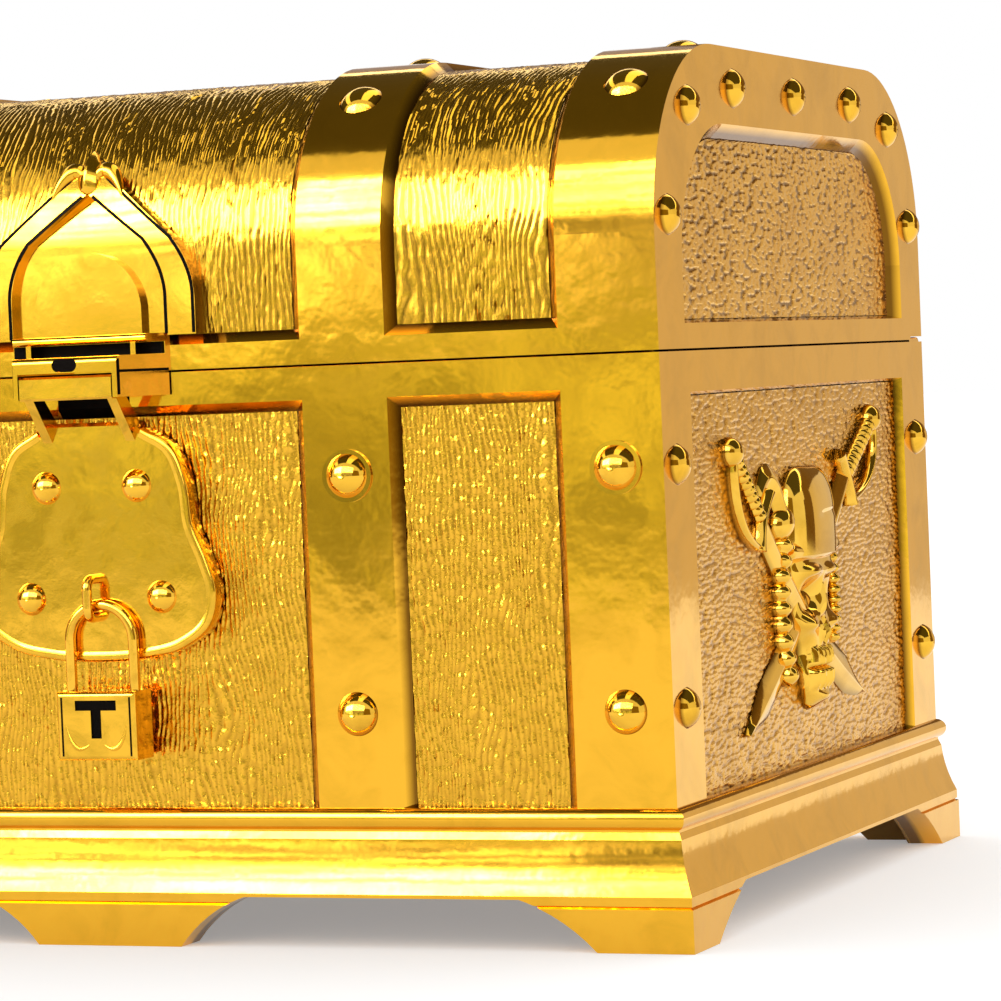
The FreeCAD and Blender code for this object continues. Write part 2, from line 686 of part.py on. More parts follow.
def latch_lug():
    """Lid block that carries the hasp: a bar with a rim and a slot above it, and an ear beside the barrel."""
    x = -LUG_ROOT_HALF
    rim = LUG_TOP - LUG_RIM
    nose = LUG_RIM / 2.0
    turn = LUG_FRONT_OUT - LUG_BAR_ROUND
    bend = LUG_BAR_ROUND * math.sqrt(0.5)
    p = [V(x, out(0), LUG_BAR_BOTTOM), V(x, out(LUG_FRONT_OUT), LUG_BAR_BOTTOM),
         V(x, out(LUG_FRONT_OUT), LUG_BAR_TOP - LUG_BAR_ROUND),
         V(x, out(turn + bend), LUG_BAR_TOP - LUG_BAR_ROUND + bend), V(x, out(turn), LUG_BAR_TOP),
         V(x, out(LUG_SLOT_BACK), LUG_BAR_TOP), V(x, out(LUG_SLOT_BACK), rim),
         V(x, out(LUG_RIM_OUT - nose), rim), V(x, out(LUG_RIM_OUT), rim + nose),
         V(x, out(LUG_RIM_OUT - nose), LUG_TOP), V(x, out(0), LUG_TOP)]
    edges = [line(p[0], p[1]), line(p[1], p[2]), arc(p[2], p[3], p[4])]
    edges += [line(p[i], p[i + 1]) for i in (4, 5, 6)]
    edges += [arc(p[7], p[8], p[9]), line(p[9], p[10]), line(p[10], p[0])]
    bar = extrude(edges, V(2.0 * LUG_ROOT_HALF, 0, 0)).common(lug_plan(LUG_BAR_BOTTOM, LUG_TOP))
    for post in (-LUG_POST_X, LUG_POST_X - LUG_POST):
        bar = bar.fuse(box(post, post + LUG_POST, out(LUG_POST_OUT), out(0), LUG_BAR_TOP, rim))
    inner = BARREL_HALF + KNUCKLE_GAP
    ears = lug_plan(LUG_BOTTOM, LUG_BAR_BOTTOM)
    ears = ears.cut(box(-inner, inner, out(20.0), out(0), LUG_BOTTOM, LUG_BAR_BOTTOM))
    ears = ears.cut(box(-30, 30, out(LUG_STANDOFF), out(0), LUG_BOTTOM, LID_BOTTOM))
    lug = bar.fuse(ears).cut(hasp_pin_bore(HASP_PIN_R))
    face = out(LUG_FRONT_OUT)
    z = 0.5 * (LUG_BAR_BOTTOM + LUG_BAR_TOP)
    hole = box(-LUG_HOLE_HALF, LUG_HOLE_HALF, face, face + LUG_HOLE_DEPTH, z - LUG_HOLE_R, z + LUG_HOLE_R)
    for side in (-1, 1):
        end = V(side * LUG_HOLE_HALF, face, z)
        hole = hole.fuse(rod(end, end + V(0, LUG_HOLE_DEPTH, 0), LUG_HOLE_R))
    room = rod(V(-inner, out(HASP_AXIS_OUT), HASP_AXIS_Z), V(inner, out(HASP_AXIS_OUT), HASP_AXIS_Z),
               BARREL_TURN_R)
    return lug.cut([hole, room]).removeSplitter()


def hasp_pin_bore(radius):
    half = LUG_ROOT_HALF
    return rod(V(-half, out(HASP_AXIS_OUT), HASP_AXIS_Z), V(half, out(HASP_AXIS_OUT), HASP_AXIS_Z), radius)


def hasp_pin():
    return hasp_pin_bore(HASP_PIN_R).common(lug_plan(LUG_BOTTOM, LUG_BAR_BOTTOM))


def hasp_outline():
    """Side of the hasp plate from the shoulder to the bottom middle, as x and distance below its top."""
    return [(12.6, 2.2), (19.0, 6.2), (22.2, 13.8), (23.4, 23.2), (26.4, 30.8), (28.2, 37.4), (26.6, 44.2),
            (20.8, 48.6), (11.0, 51.0), (0, PLATE_HEIGHT)]


def hasp_plate_blank():
    """Flat plate with one smooth curve round its sides and foot and a straight top, front edge bevelled."""
    y = out(PLATE_BACK)
    right = [V(x, y, PLATE_TOP - down) for x, down in hasp_outline()]
    left = [V(-p.x, p.y, p.z) for p in reversed(right[:-1])]
    curve = Part.BSplineCurve()
    curve.interpolate(right + left)
    corner = V(PLATE_TOP_HALF, y, PLATE_TOP)
    mirrored = V(-PLATE_TOP_HALF, y, PLATE_TOP)
    edges = [curve.toShape(), line(left[-1], mirrored), line(mirrored, corner), line(corner, right[0])]
    plate = extrude(edges, V(0, PLATE_BACK - PLATE_FRONT, 0))
    front = [f for f in plate.Faces if abs(f.CenterOfMass.y - out(PLATE_FRONT)) < 0.01]
    return plate.makeChamfer(PLATE_EDGE, front[0].Edges)


def hasp_arm(x):
    """Arm from the barrel back down to the top of the plate."""
    p = [V(x, out(HASP_AXIS_OUT + 1.6), HASP_AXIS_Z - 1.2), V(x, out(PLATE_FRONT), PLATE_TOP - ARM_ROOT),
         V(x, out(PLATE_BACK), PLATE_TOP - ARM_ROOT), V(x, out(PLATE_BACK), PLATE_TOP),
         V(x, out(HASP_AXIS_OUT - 2.0), HASP_AXIS_Z)]
    return polygon(p, V(ARM_WIDTH, 0, 0))


def hasp_barrel():
    """Knuckle bar of the hasp: round behind, flat in front with two small bevels."""
    axis = V(-BARREL_HALF, out(HASP_AXIS_OUT), HASP_AXIS_Z)
    along = V(2.0 * BARREL_HALF, 0, 0)
    r = BARREL_R
    e = BARREL_R - BARREL_EDGE
    section = [V(0, 0, -r), V(0, -e, -r), V(0, -r, -e), V(0, -r, e), V(0, -e, r), V(0, 0, r)]
    return rod(axis, axis + along, r).fuse(polygon([axis + q for q in section], along))


def hasp_plate():
    barrel = hasp_barrel()
    arms = [hasp_arm(-BARREL_HALF), hasp_arm(BARREL_HALF - ARM_WIDTH)]
    hasp = hasp_plate_blank().fuse([barrel] + arms)
    holes = hasp_rivet_set(stud_hole(HASP_SHANK_R, PLATE_FRONT - PLATE_BACK))
    legs = [rod(V(0, out(PLATE_BACK), z), V(0, out(PLATE_FRONT), z), STAPLE_WIRE_R) for z in staple_levels()]
    return hasp.cut([hasp_pin_bore(HASP_PIN_R + PIN_GAP)] + holes + legs).removeSplitter()


def hasp_rivet_set(piece):
    spots = [(UPPER_RIVET_X, PLATE_TOP - UPPER_RIVET_DOWN), (LOWER_RIVET_X, STAPLE_Z)]
    return [placed(piece, V(side * x, out(PLATE_FRONT), z), ON_FRONT) for x, z in spots for side in (-1, 1)]


# Staple and padlock

def staple_levels():
    return (STAPLE_Z - STAPLE_HALF, STAPLE_Z + STAPLE_HALF)


def hasp_staple():
    """Bent wire eye that stands out from the hasp plate."""
    low, high = staple_levels()
    r = STAPLE_BEND
    bend = r * math.sqrt(0.5)
    inner = STAPLE_OUT - r
    p = [V(0, out(PLATE_BACK), high), V(0, out(inner), high), V(0, out(inner + bend), high - r + bend),
         V(0, out(STAPLE_OUT), high - r), V(0, out(STAPLE_OUT), low + r),
         V(0, out(inner + bend), low + r - bend), V(0, out(inner), low), V(0, out(PLATE_BACK), low)]
    path = Part.Wire([line(p[0], p[1]), arc(p[1], p[2], p[3]), line(p[3], p[4]), arc(p[4], p[5], p[6]),
                      line(p[6], p[7])])
    section = Part.Wire(Part.makeCircle(STAPLE_WIRE_R, V(0, out(PLATE_BACK), high), V(0, 1, 0)))
    return path.makePipeShell([section], True, True)


def shackle_path(end_left, end_right):
    y = out(SHACKLE_OUT)
    spring = SHACKLE_TOP - SHACKLE_HALF
    left = V(-SHACKLE_HALF, y, spring)
    right = V(SHACKLE_HALF, y, spring)
    return Part.Wire([line(V(-SHACKLE_HALF, y, end_left), left), arc(left, V(0, y, SHACKLE_TOP), right),
                      line(right, V(SHACKLE_HALF, y, end_right))])


def hung(shape):
    """The lock hangs a little to one side of the eye."""
    moved = shape.copy()
    moved.translate(V(HANG_SIDE, 0, 0))
    return moved


def padlock_shackle():
    start = V(-SHACKLE_HALF, out(SHACKLE_OUT), SHORT_LEG_END)
    section = Part.Wire(Part.makeCircle(SHACKLE_WIRE_R, start, V(0, 0, 1)))
    return hung(shackle_path(SHORT_LEG_END, LONG_LEG_END).makePipeShell([section], True, True))


def lock_block(back, front):
    return box(-LOCK_HALF, LOCK_HALF, out(front), out(back), LOCK_BOTTOM, LOCK_TOP)


def leg_holes():
    y = out(SHACKLE_OUT)
    ends = [(-SHACKLE_HALF, SHORT_LEG_END), (SHACKLE_HALF, LONG_LEG_END)]
    return [rod(V(x, y, z - 0.5), V(x, y, LOCK_TOP), SHACKLE_WIRE_R + LEG_GAP) for x, z in ends]


def outer_edges(shape, y):
    faces = [f for f in shape.Faces if abs(f.CenterOfMass.y - y) < 0.01]
    return faces[0].Edges


def padlock_front_shell():
    face = out(SHACKLE_OUT + LOCK_HALF_THICK)
    shell = lock_block(SHACKLE_OUT, SHACKLE_OUT + LOCK_HALF_THICK)
    shell = shell.makeFillet(LOCK_EDGE, outer_edges(shell, face))
    bar = box(-KEY_BAR_HALF, KEY_BAR_HALF, face, face + KEY_DEPTH, KEY_BAR_BOTTOM, KEY_BAR_TOP)
    stem = box(-KEY_STEM_HALF, KEY_STEM_HALF, face, face + KEY_DEPTH, KEY_STEM_BOTTOM, KEY_BAR_BOTTOM)
    return hung(shell.cut([bar.fuse(stem)] + leg_holes()).removeSplitter())


def padlock_back_shell():
    face = out(SHACKLE_OUT - LOCK_HALF_THICK)
    shell = lock_block(SHACKLE_OUT - LOCK_HALF_THICK, SHACKLE_OUT)
    shell = shell.makeFillet(LOCK_EDGE, outer_edges(shell, face))
    return hung(shell.cut(leg_holes()))


# Rear hinges

def hinge_centres():
    return (-INNER_STRAP_X, INNER_STRAP_X)


def hinge_leaf(side, spans):
    """Flat leaf on the back of a strap with round knuckles; side is 1 for the lid and -1 for the box."""
    leaf = None
    for x0, x1 in spans:
        knuckle = rod(V(x0, HINGE_Y, HINGE_Z), V(x1, HINGE_Y, HINGE_Z), HINGE_R)
        neck = sorted((HINGE_Z + side * LEAF_START, HINGE_Z + side * (HINGE_R + 2.0)))
        tab = box(x0, x1, HALF_DEPTH, HALF_DEPTH + LEAF_T, neck[0], neck[1])
        leaf = knuckle.fuse(tab) if leaf is None else leaf.fuse([knuckle, tab])
    rise = sorted((HINGE_Z + side * (HINGE_R + 1.0), HINGE_Z + side * LEAF_END))
    leaf = leaf.fuse(box(-HINGE_HALF, HINGE_HALF, HALF_DEPTH, HALF_DEPTH + LEAF_T, rise[0], rise[1]))
    return leaf


def hinge_leaves(side):
    middle = HINGE_MIDDLE_HALF
    edge = middle + KNUCKLE_GAP
    spans = [(-middle, middle)] if side > 0 else [(-HINGE_HALF, -edge), (edge, HINGE_HALF)]
    gap = PIN_GAP if side > 0 else 0.0
    leaf = hinge_leaf(side, spans)
    leaf = leaf.cut(rod(V(-HINGE_HALF, HINGE_Y, HINGE_Z), V(HINGE_HALF, HINGE_Y, HINGE_Z), HINGE_PIN_R + gap))
    leaf = leaf.removeSplitter()
    leaves = []
    for x in hinge_centres():
        copy = leaf.copy()
        copy.translate(V(x, 0, 0))
        leaves.append(copy)
    holes = hinge_rivet_set(side, stud_hole(HINGE_RIVET_SHANK_R, HINGE_RIVET_SHANK))
    return [one.cut(holes) for one in leaves]


def hinge_rivet_set(side, piece):
    z = HINGE_Z + side * HINGE_RIVET_Z
    spots = [x + step for x in hinge_centres() for step in (-HINGE_RIVET_X, HINGE_RIVET_X)]
    return [placed(piece, V(x, HALF_DEPTH + LEAF_T, z), ON_BACK) for x in spots]


def hinge_rivets(side):
    rivet = stud(HINGE_RIVET_R, HINGE_RIVET_H, HINGE_RIVET_SHANK_R, HINGE_RIVET_SHANK, 0)
    return hinge_rivet_set(side, rivet)


def hinge_pins():
    pins = []
    for x in hinge_centres():
        a = V(x - HINGE_HALF, HINGE_Y, HINGE_Z)
        b = V(x + HINGE_HALF, HINGE_Y, HINGE_Z)
        cap = V(HINGE_PIN_HEAD_T, 0, 0)
        heads = [rod(a - cap, a, HINGE_PIN_HEAD_R), rod(b, b + cap, HINGE_PIN_HEAD_R)]
        pins.append(rod(a, b, HINGE_PIN_R).fuse(heads).removeSplitter())
    return pins


# Emblems on the ends

def relief(points, sphere, height):
    """Domed relief: an outline of (u, v) points pulled up and rounded off by a large ball."""
    block = polygon([V(u, v, 0) for u, v in points], V(0, 0, height + 1.0))
    cu = sum(u for u, v in points) / len(points)
    cv = sum(v for u, v in points) / len(points)
    return block.common(Part.makeSphere(sphere, V(cu, cv, height - sphere)))


def bar_between(a, b, width, height):
    """Half-round bar lying on the panel from a to b."""
    bar = rod(V(a[0], a[1], 0), V(b[0], b[1], 0), width / 2.0)
    return bar.common(box(-EMBLEM_REACH, EMBLEM_REACH, -EMBLEM_REACH, EMBLEM_REACH, 0, height))


def knob(centre, radius, height):
    head = dome(radius, height)
    head.translate(V(centre[0], centre[1], 0))
    return head


def cutlass(pommel, hilt, tip, bulge):
    """Curved sword: blade between two arcs, cross guard, grip with a knob and a round hand guard."""
    start = V(hilt[0], hilt[1], 0)
    end = V(tip[0], tip[1], 0)
    along = (end - start).normalize()
    across = V(-along.y, along.x, 0)
    half = across * (BLADE_WIDTH / 2.0)
    middle = (start + end) * 0.5 + across * bulge
    edges = [arc(start + half, middle + half, end), arc(end, middle - half, start - half),
             line(start - half, start + half)]
    blade = extrude(edges, V(0, 0, BLADE_HEIGHT))
    guard_a = start + across * GUARD_HALF
    guard_b = start - across * GUARD_HALF
    guard = bar_between((guard_a.x, guard_a.y), (guard_b.x, guard_b.y), 4.4, 3.4)
    grip = bar_between(pommel, hilt, 5.0, 3.0)
    ring = Part.makeTorus(6.0, 1.4, (V(pommel[0], pommel[1], 0) + start) * 0.5)
    ring = ring.common(box(-EMBLEM_REACH, EMBLEM_REACH, -EMBLEM_REACH, EMBLEM_REACH, 0, 3.0))
    return [blade, guard, grip, ring, knob(pommel, 4.2, 3.8)]


def emblem():
    """Skull in a knotted headscarf over two crossed cutlasses, in relief with a flat back."""
    cap = knob((4.5, 11.0), 18.5, 6.0)
    face = knob((4.5, -6.0), 14.5, 5.2)
    jaw = relief([(-6, -13), (15, -13), (14, -26), (9, -30), (0, -30), (-5, -26)], 45.0, 4.2)
    band = bar_between((-15.0, 4.5), (24.0, 4.5), 9.6, 4.8)
    knot = knob((-20.0, 14.0), 5.0, 4.4)
    tails = [relief([(-20, 17), (-30, 23), (-33, 17), (-22, 11)], 30.0, 3.0),
             relief([(-20, 13), (-24, 1), (-31, -1), (-27, 11)], 30.0, 3.0)]
    swords = cutlass((-44.5, 29.0), (-28.0, 15.5), (40.5, -31.0), -4.0)
    swords += cutlass((54.0, 34.0), (31.0, 21.0), (-46.0, -33.0), 4.0)
    shape = cap.fuse([face, jaw, band, knot] + tails + swords)
    eyes = [Part.makeSphere(3.9, V(u, -5.5, 6.4)) for u in (-2.6, 11.4)]
    nose = Part.makeCone(2.0, 0.4, 4.5, V(4.5, -14.5, 4.6), V(0, 1, 0))
    teeth = [box(u - 0.25, u + 0.25, -26.0, -19.5, 3.2, 6.0) for u in (-1.0, 1.8, 4.5, 7.2, 10.0)]
    mouth = box(-4.0, 13.0, -23.0, -22.4, 3.0, 6.0)
    shape = shape.cut(eyes + [nose, mouth] + teeth).removeSplitter()
    return placed(shape, V(HALF_LENGTH - RECESS, 0, BOX_BOTTOM + EMBLEM_UP), ON_RIGHT)


def write_all():
    os.makedirs("parts", exist_ok=True)
    save("chest_shell", chest_shell())
    save("base_plinth", base_plinth())
    for name, span in panel_spans().items():
        save("front_" + name + "_panel", front_panel(*span))
        save("back_" + name + "_panel", to_back(front_panel(*span)))
        save("lid_" + name + "_panel", lid_panel(*span))
    save("right_end_panel", end_panel())
    save("left_end_panel", half_turn(end_panel()))
    save("lid_right_end_panel", lid_end_panel())
    save("lid_left_end_panel", half_turn(lid_end_panel()))
    save("right_end_emblem", emblem())
    save("left_end_emblem", half_turn(emblem()))
    save("front_strap_studs", Part.Compound(front_studs()))
    save("back_strap_studs", Part.Compound([to_back(one) for one in front_studs()]))
    ends = right_end_set(end_stud())
    save("end_strap_studs", Part.Compound(ends + [half_turn(one) for one in ends]))
    save("lid_shell", lid_shell())
    save("lid_strap_studs", Part.Compound(lid_strap_set(lid_stud())))
    ends = [placed(end_stud(), spot, ON_RIGHT) for spot in lid_end_spots()]
    save("lid_end_studs", Part.Compound(ends + [half_turn(one) for one in ends]))
    save("latch_arch", latch_arch())
    save("latch_lug", latch_lug())
    save("hasp_pin", hasp_pin())
    save("hasp_plate", hasp_plate())
    shank = PLATE_FRONT - PLATE_BACK
    save("hasp_rivets", Part.Compound(hasp_rivet_set(stud(HASP_STUD_R, HASP_STUD_H, HASP_SHANK_R, shank, 0))))
    save("hasp_staple", hasp_staple())
    save("padlock_shackle", padlock_shackle())
    save("padlock_front_shell", padlock_front_shell())
    save("padlock_back_shell", padlock_back_shell())
    save("hinge_box_leaves", Part.Compound(hinge_leaves(-1)))
    save("hinge_lid_leaves", Part.Compound(hinge_leaves(1)))
    save("hinge_box_rivets", Part.Compound(hinge_rivets(-1)))
    save("hinge_lid_rivets", Part.Compound(hinge_rivets(1)))
    save("hinge_pins", Part.Compound(hinge_pins()))


write_all()
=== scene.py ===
import bpy
import numpy as np
from mathutils import Matrix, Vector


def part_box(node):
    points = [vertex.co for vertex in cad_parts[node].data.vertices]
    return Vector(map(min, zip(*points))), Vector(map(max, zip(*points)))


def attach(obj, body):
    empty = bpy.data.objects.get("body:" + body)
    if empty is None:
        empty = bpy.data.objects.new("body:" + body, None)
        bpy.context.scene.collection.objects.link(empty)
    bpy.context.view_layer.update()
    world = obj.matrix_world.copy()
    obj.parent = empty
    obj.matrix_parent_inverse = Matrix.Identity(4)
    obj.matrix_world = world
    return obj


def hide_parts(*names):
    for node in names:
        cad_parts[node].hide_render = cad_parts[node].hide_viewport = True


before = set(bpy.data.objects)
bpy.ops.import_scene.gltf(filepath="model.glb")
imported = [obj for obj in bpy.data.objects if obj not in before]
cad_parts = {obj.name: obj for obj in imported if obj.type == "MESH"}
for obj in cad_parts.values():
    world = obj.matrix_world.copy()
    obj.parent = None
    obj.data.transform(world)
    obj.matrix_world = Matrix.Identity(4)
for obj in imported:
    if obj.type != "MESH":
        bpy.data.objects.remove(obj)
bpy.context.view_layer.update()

# Box, lid and base carcass: moulded ABS with a vacuum-plated gold skin, a mirror on the straps and rims.
# The plating follows the moulding's faint waves and has gone cloudy where it was handled. It doesn't reach
# the inside and the underside, which show bare ochre plastic.

LID_TURN = 40.7
SHOULDER_MIDDLE = (0.0, 3.8, 150.4)
SHOULDER_HALF = 57.0
END_FACE = 132.0
BARE_BELOW = (-4.6, -4.2)
SHADE_MOST = 0.88
CLOUD_BAND = (0.45, 0.75)


def linear(code):
    """A colour written as sRGB hex, turned to the linear values that a shader socket takes."""
    parts = [int(code[i:i + 2], 16) / 255.0 for i in (1, 3, 5)]
    return [c / 12.92 if c <= 0.04045 else ((c + 0.055) / 1.055) ** 2.4 for c in parts] + [1.0]


def add(tree, kind, values, links, **settings):
    """Adds one shader node, sets its properties and input values, and links its inputs to other outputs."""
    made = tree.nodes.new(kind)
    for name, value in settings.items():
        setattr(made, name, value)
    for name, value in values.items():
        made.inputs[name].default_value = value
    for name, output in links.items():
        tree.links.new(output, made.inputs[name])
    return made


def over_skin(tree, spot):
    """Height in metres over the outer skin of the chest, at Object coordinates: beyond the flat ends, or
    beyond the front, the top and the back, which are one surface rounded about the lid's two shoulder
    lines."""
    middle = [value / 1000.0 for value in SHOULDER_MIDDLE]
    place = add(tree, "ShaderNodeVectorMath", {1: middle}, {0: spot}, operation="SUBTRACT")
    folded = add(tree, "ShaderNodeVectorMath", {}, {0: place.outputs["Vector"]}, operation="ABSOLUTE")
    way = add(tree, "ShaderNodeSeparateXYZ", {}, {"Vector": folded.outputs["Vector"]})
    rise = add(tree, "ShaderNodeSeparateXYZ", {}, {"Vector": place.outputs["Vector"]})
    deep = add(tree, "ShaderNodeMath", {1: SHOULDER_HALF / 1000.0}, {0: way.outputs["Y"]},
               operation="SUBTRACT")
    turned = add(tree, "ShaderNodeCombineXYZ", {}, {"Y": deep.outputs[0], "Z": rise.outputs["Z"]})
    turned = add(tree, "ShaderNodeVectorMath", {}, {0: turned.outputs["Vector"]}, operation="MAXIMUM")
    reach = add(tree, "ShaderNodeVectorMath", {}, {0: turned.outputs["Vector"]}, operation="LENGTH")
    round_out = add(tree, "ShaderNodeMath", {1: LID_TURN / 1000.0}, {0: reach.outputs["Value"]},
                    operation="SUBTRACT")
    end_out = add(tree, "ShaderNodeMath", {1: END_FACE / 1000.0}, {0: way.outputs["X"]}, operation="SUBTRACT")
    return add(tree, "ShaderNodeMath", {}, {0: round_out.outputs[0], 1: end_out.outputs[0]},
               operation="MAXIMUM")


def plated_gold(name, colours, rough, cloud_mm, wave, grit, along=1.0, shade=None, groove=None, inside=None):
    """Vacuum-plated gold on moulded plastic: bright metal with clouds of duller, deeper colour.

    colours and rough are those of the clear and of the clouded skin, and cloud_mm is the size of the
    clouds. wave is the length and the height in mm of the waves in the moulded skin, and grit that of the
    fine peel that breaks up the mirror, drawn out by along in y and z. shade is the colour of painted shade
    and two heights in mm over the skin, between which it darkens corners, recess walls and seams. groove is
    the colour of painted shade at the bottom of a moulded grain, by the piece's groove attribute, and inside
    the colour and the roughness of the bare plastic on inner faces.
    """
    finish = bpy.data.materials.new(name)
    finish.use_nodes = True
    tree = finish.node_tree
    shader = tree.nodes["Principled BSDF"]
    shader.inputs["Metallic"].default_value = 1.0
    spot = add(tree, "ShaderNodeTexCoord", {}, {}).outputs["Object"]
    cloud = add(tree, "ShaderNodeTexNoise", {"Scale": 1000.0 / cloud_mm, "Detail": 5.0, "Roughness": 0.6,
                "Distortion": 0.8}, {"Vector": spot})
    share = add(tree, "ShaderNodeMapRange", {"From Min": CLOUD_BAND[0], "From Max": CLOUD_BAND[1]},
                {"Value": cloud.outputs["Fac"]})
    colour = add(tree, "ShaderNodeMix", {"A": linear(colours[0]), "B": linear(colours[1])},
                 {"Factor": share.outputs["Result"]}, data_type="RGBA")
    # Painted shade: the shade colour is mixed in between two heights under the skin, in corners, on recess
    # walls and in seams, but not on the inner faces.
    if shade:
        over = over_skin(tree, spot).outputs[0]
        low = add(tree, "ShaderNodeMapRange", {"From Min": shade[1] / 1000.0, "From Max": shade[2] / 1000.0,
                  "To Max": SHADE_MOST}, {"Value": over})
        wall = add(tree, "ShaderNodeMapRange", {"From Min": BARE_BELOW[0] / 1000.0,
                   "From Max": BARE_BELOW[1] / 1000.0}, {"Value": over})
        low = add(tree, "ShaderNodeMath", {}, {0: low.outputs["Result"], 1: wall.outputs["Result"]},
                  operation="MULTIPLY")
        colour = add(tree, "ShaderNodeMix", {"B": linear(shade[0])},
                     {"Factor": low.outputs[0], "A": colour.outputs["Result"]}, data_type="RGBA")
    # Painted shade in the bottoms of a moulded grain, by the groove attribute.
    if groove:
        low = add(tree, "ShaderNodeAttribute", {}, {}, attribute_name="groove")
        colour = add(tree, "ShaderNodeMix", {"B": linear(groove)},
                     {"Factor": low.outputs["Fac"], "A": colour.outputs["Result"]}, data_type="RGBA")
    tree.links.new(colour.outputs["Result"], shader.inputs["Base Color"])
    polish = add(tree, "ShaderNodeMapRange", {"To Min": rough[0], "To Max": rough[1]},
                 {"Value": share.outputs["Result"]})
    if inside:
        bare = add(tree, "ShaderNodeMix", {"A": linear(inside[0])},
                   {"Factor": wall.outputs["Result"], "B": colour.outputs["Result"]}, data_type="RGBA")
        tree.links.new(bare.outputs["Result"], shader.inputs["Base Color"])
        tree.links.new(wall.outputs["Result"], shader.inputs["Metallic"])
        polish = add(tree, "ShaderNodeMapRange", {"To Min": inside[1]},
                     {"Value": wall.outputs["Result"], "To Max": polish.outputs["Result"]})
    tree.links.new(polish.outputs["Result"], shader.inputs["Roughness"])
    swell = add(tree, "ShaderNodeTexNoise", {"Scale": 1000.0 / wave[0], "Detail": 1.0}, {"Vector": spot})
    skin = add(tree, "ShaderNodeBump", {"Strength": 1.0, "Distance": wave[1] / 1000.0},
               {"Height": swell.outputs["Fac"]})
    drawn = add(tree, "ShaderNodeMapping", {"Scale": (1.0, 1.0 / along, 1.0 / along)}, {"Vector": spot})
    fine = add(tree, "ShaderNodeTexNoise", {"Scale": 1000.0 / grit[0], "Detail": 2.0},
               {"Vector": drawn.outputs["Vector"]})
    peel = add(tree, "ShaderNodeBump", {"Strength": 1.0, "Distance": grit[1] / 1000.0},
               {"Height": fine.outputs["Fac"], "Normal": skin.outputs["Normal"]})
    tree.links.new(peel.outputs["Normal"], shader.inputs["Normal"])
    return finish


def dress(finish, *names):
    """Gives CAD nodes a finish."""
    for name in names:
        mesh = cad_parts[name].data
        mesh.materials.clear()
        mesh.materials.append(finish)


# A wavy mirror with faint dull clouds, and painted shade, dark brown, in the corners beside the straps and in
# the seam between box and lid.
strap_gold = plated_gold("plated ABS, smooth straps", colours=("#F0B434", "#DEA62C"), rough=(0.08, 0.13),
                         cloud_mm=15.0, wave=(24.0, 0.09), grit=(5.0, 0.04), shade=("#5E3810", -0.3, -1.9),
                         inside=("#A87E2C", 0.5))
dress(strap_gold, "chest_shell", "lid_shell", "base_plinth")

# Grained panels of the box and the lid: thin plated mouldings with a wood grain in relief, glued into the
# recesses between the straps. Those of the lid are bent over it from the front rim to the back rim.

GRAIN_PITCH = 1.25
GRAIN_HEIGHT = 0.34
GRAIN_STEP = (0.25, 0.4)
GRAIN_BROKEN = 0.9
PANEL_CREASE = 60.0


def noise(u, v, seed):
    """Value noise from -1 to 1: random numbers on whole-number points, blended by a smooth step."""
    table = np.random.default_rng(seed).random((97, 89)) * 2.0 - 1.0
    wide, high = table.shape
    iu = np.floor(u).astype(int)
    iv = np.floor(v).astype(int)
    fu = (u - iu) ** 2 * (3.0 - 2.0 * (u - iu))
    fv = (v - iv) ** 2 * (3.0 - 2.0 * (v - iv))
    near = table[iu % wide, iv % high] * (1.0 - fu) + table[(iu + 1) % wide, iv % high] * fu
    far = table[iu % wide, (iv + 1) % high] * (1.0 - fu) + table[(iu + 1) % wide, (iv + 1) % high] * fu
    return near * (1.0 - fv) + far * fv


def wood_grain(across, along, seed, broken):
    """Height in mm and groove share of grain lines that run along: a wave across the panel, broken into
    dashes or dots by quicker noise and fine grains. Slow noise pushes it sideways, 3.6 mm over patches of 17
    by 42 mm, 1.5 mm over 6 by 13 mm and 0.3 mm over 1.7 by 3.4 mm, so that the lines wander and swirl."""
    drift = 3.6 * noise(across / 17.0, along / 42.0, seed) + 1.5 * noise(across / 6.0, along / 13.0, seed + 1)
    drift += 0.3 * noise(across / 1.7, along / 3.4, seed + 2)
    line = 0.5 + 0.5 * np.cos(2.0 * np.pi * (across + drift) / GRAIN_PITCH)
    dash = 0.5 + 0.5 * noise(across / 0.9, along / (3.6 - 2.4 * broken), seed + 3)
    grain = noise(across / 0.6, along / 1.4, seed + 4)
    bead = line ** 0.7 * (1.0 - broken * (1.0 - dash))
    rise = GRAIN_HEIGHT * (bead + 0.18 * grain - 0.45)
    # The groove share is painted shade: most at the foot of the ridges and in the low specks of the fine
    # grain.
    groove = np.clip(1.0 - (1.7 + 0.7 * broken) * bead, 0.0, 1.0) * (0.5 + 0.5 * dash) + 0.2 * (grain < -0.35)
    return rise, np.clip(groove, 0.0, 1.0) * (0.9 - 0.35 * broken)


def slab(face, back):
    """Closed plate from a grid of face points, rows along and columns across, and two back points per row."""
    rows, cols = face.shape[:2]
    f = np.arange(rows * cols).reshape(rows, cols)
    b = rows * cols + np.arange(rows * 2).reshape(rows, 2)
    quads = [np.stack([f[:-1, :-1], f[:-1, 1:], f[1:, 1:], f[1:, :-1]], axis=-1).reshape(-1, 4),
             np.stack([b[:-1, 1], b[:-1, 0], b[1:, 0], b[1:, 1]], axis=-1),
             np.stack([b[:-1, 0], f[:-1, 0], f[1:, 0], b[1:, 0]], axis=-1),
             np.stack([f[:-1, -1], b[:-1, 1], b[1:, 1], f[1:, -1]], axis=-1)]
    caps = [np.concatenate([f[0, ::-1], b[0]]), np.concatenate([f[-1], b[-1, ::-1]])]
    return np.concatenate([face.reshape(-1, 3), back.reshape(-1, 3)]), np.concatenate(quads), caps


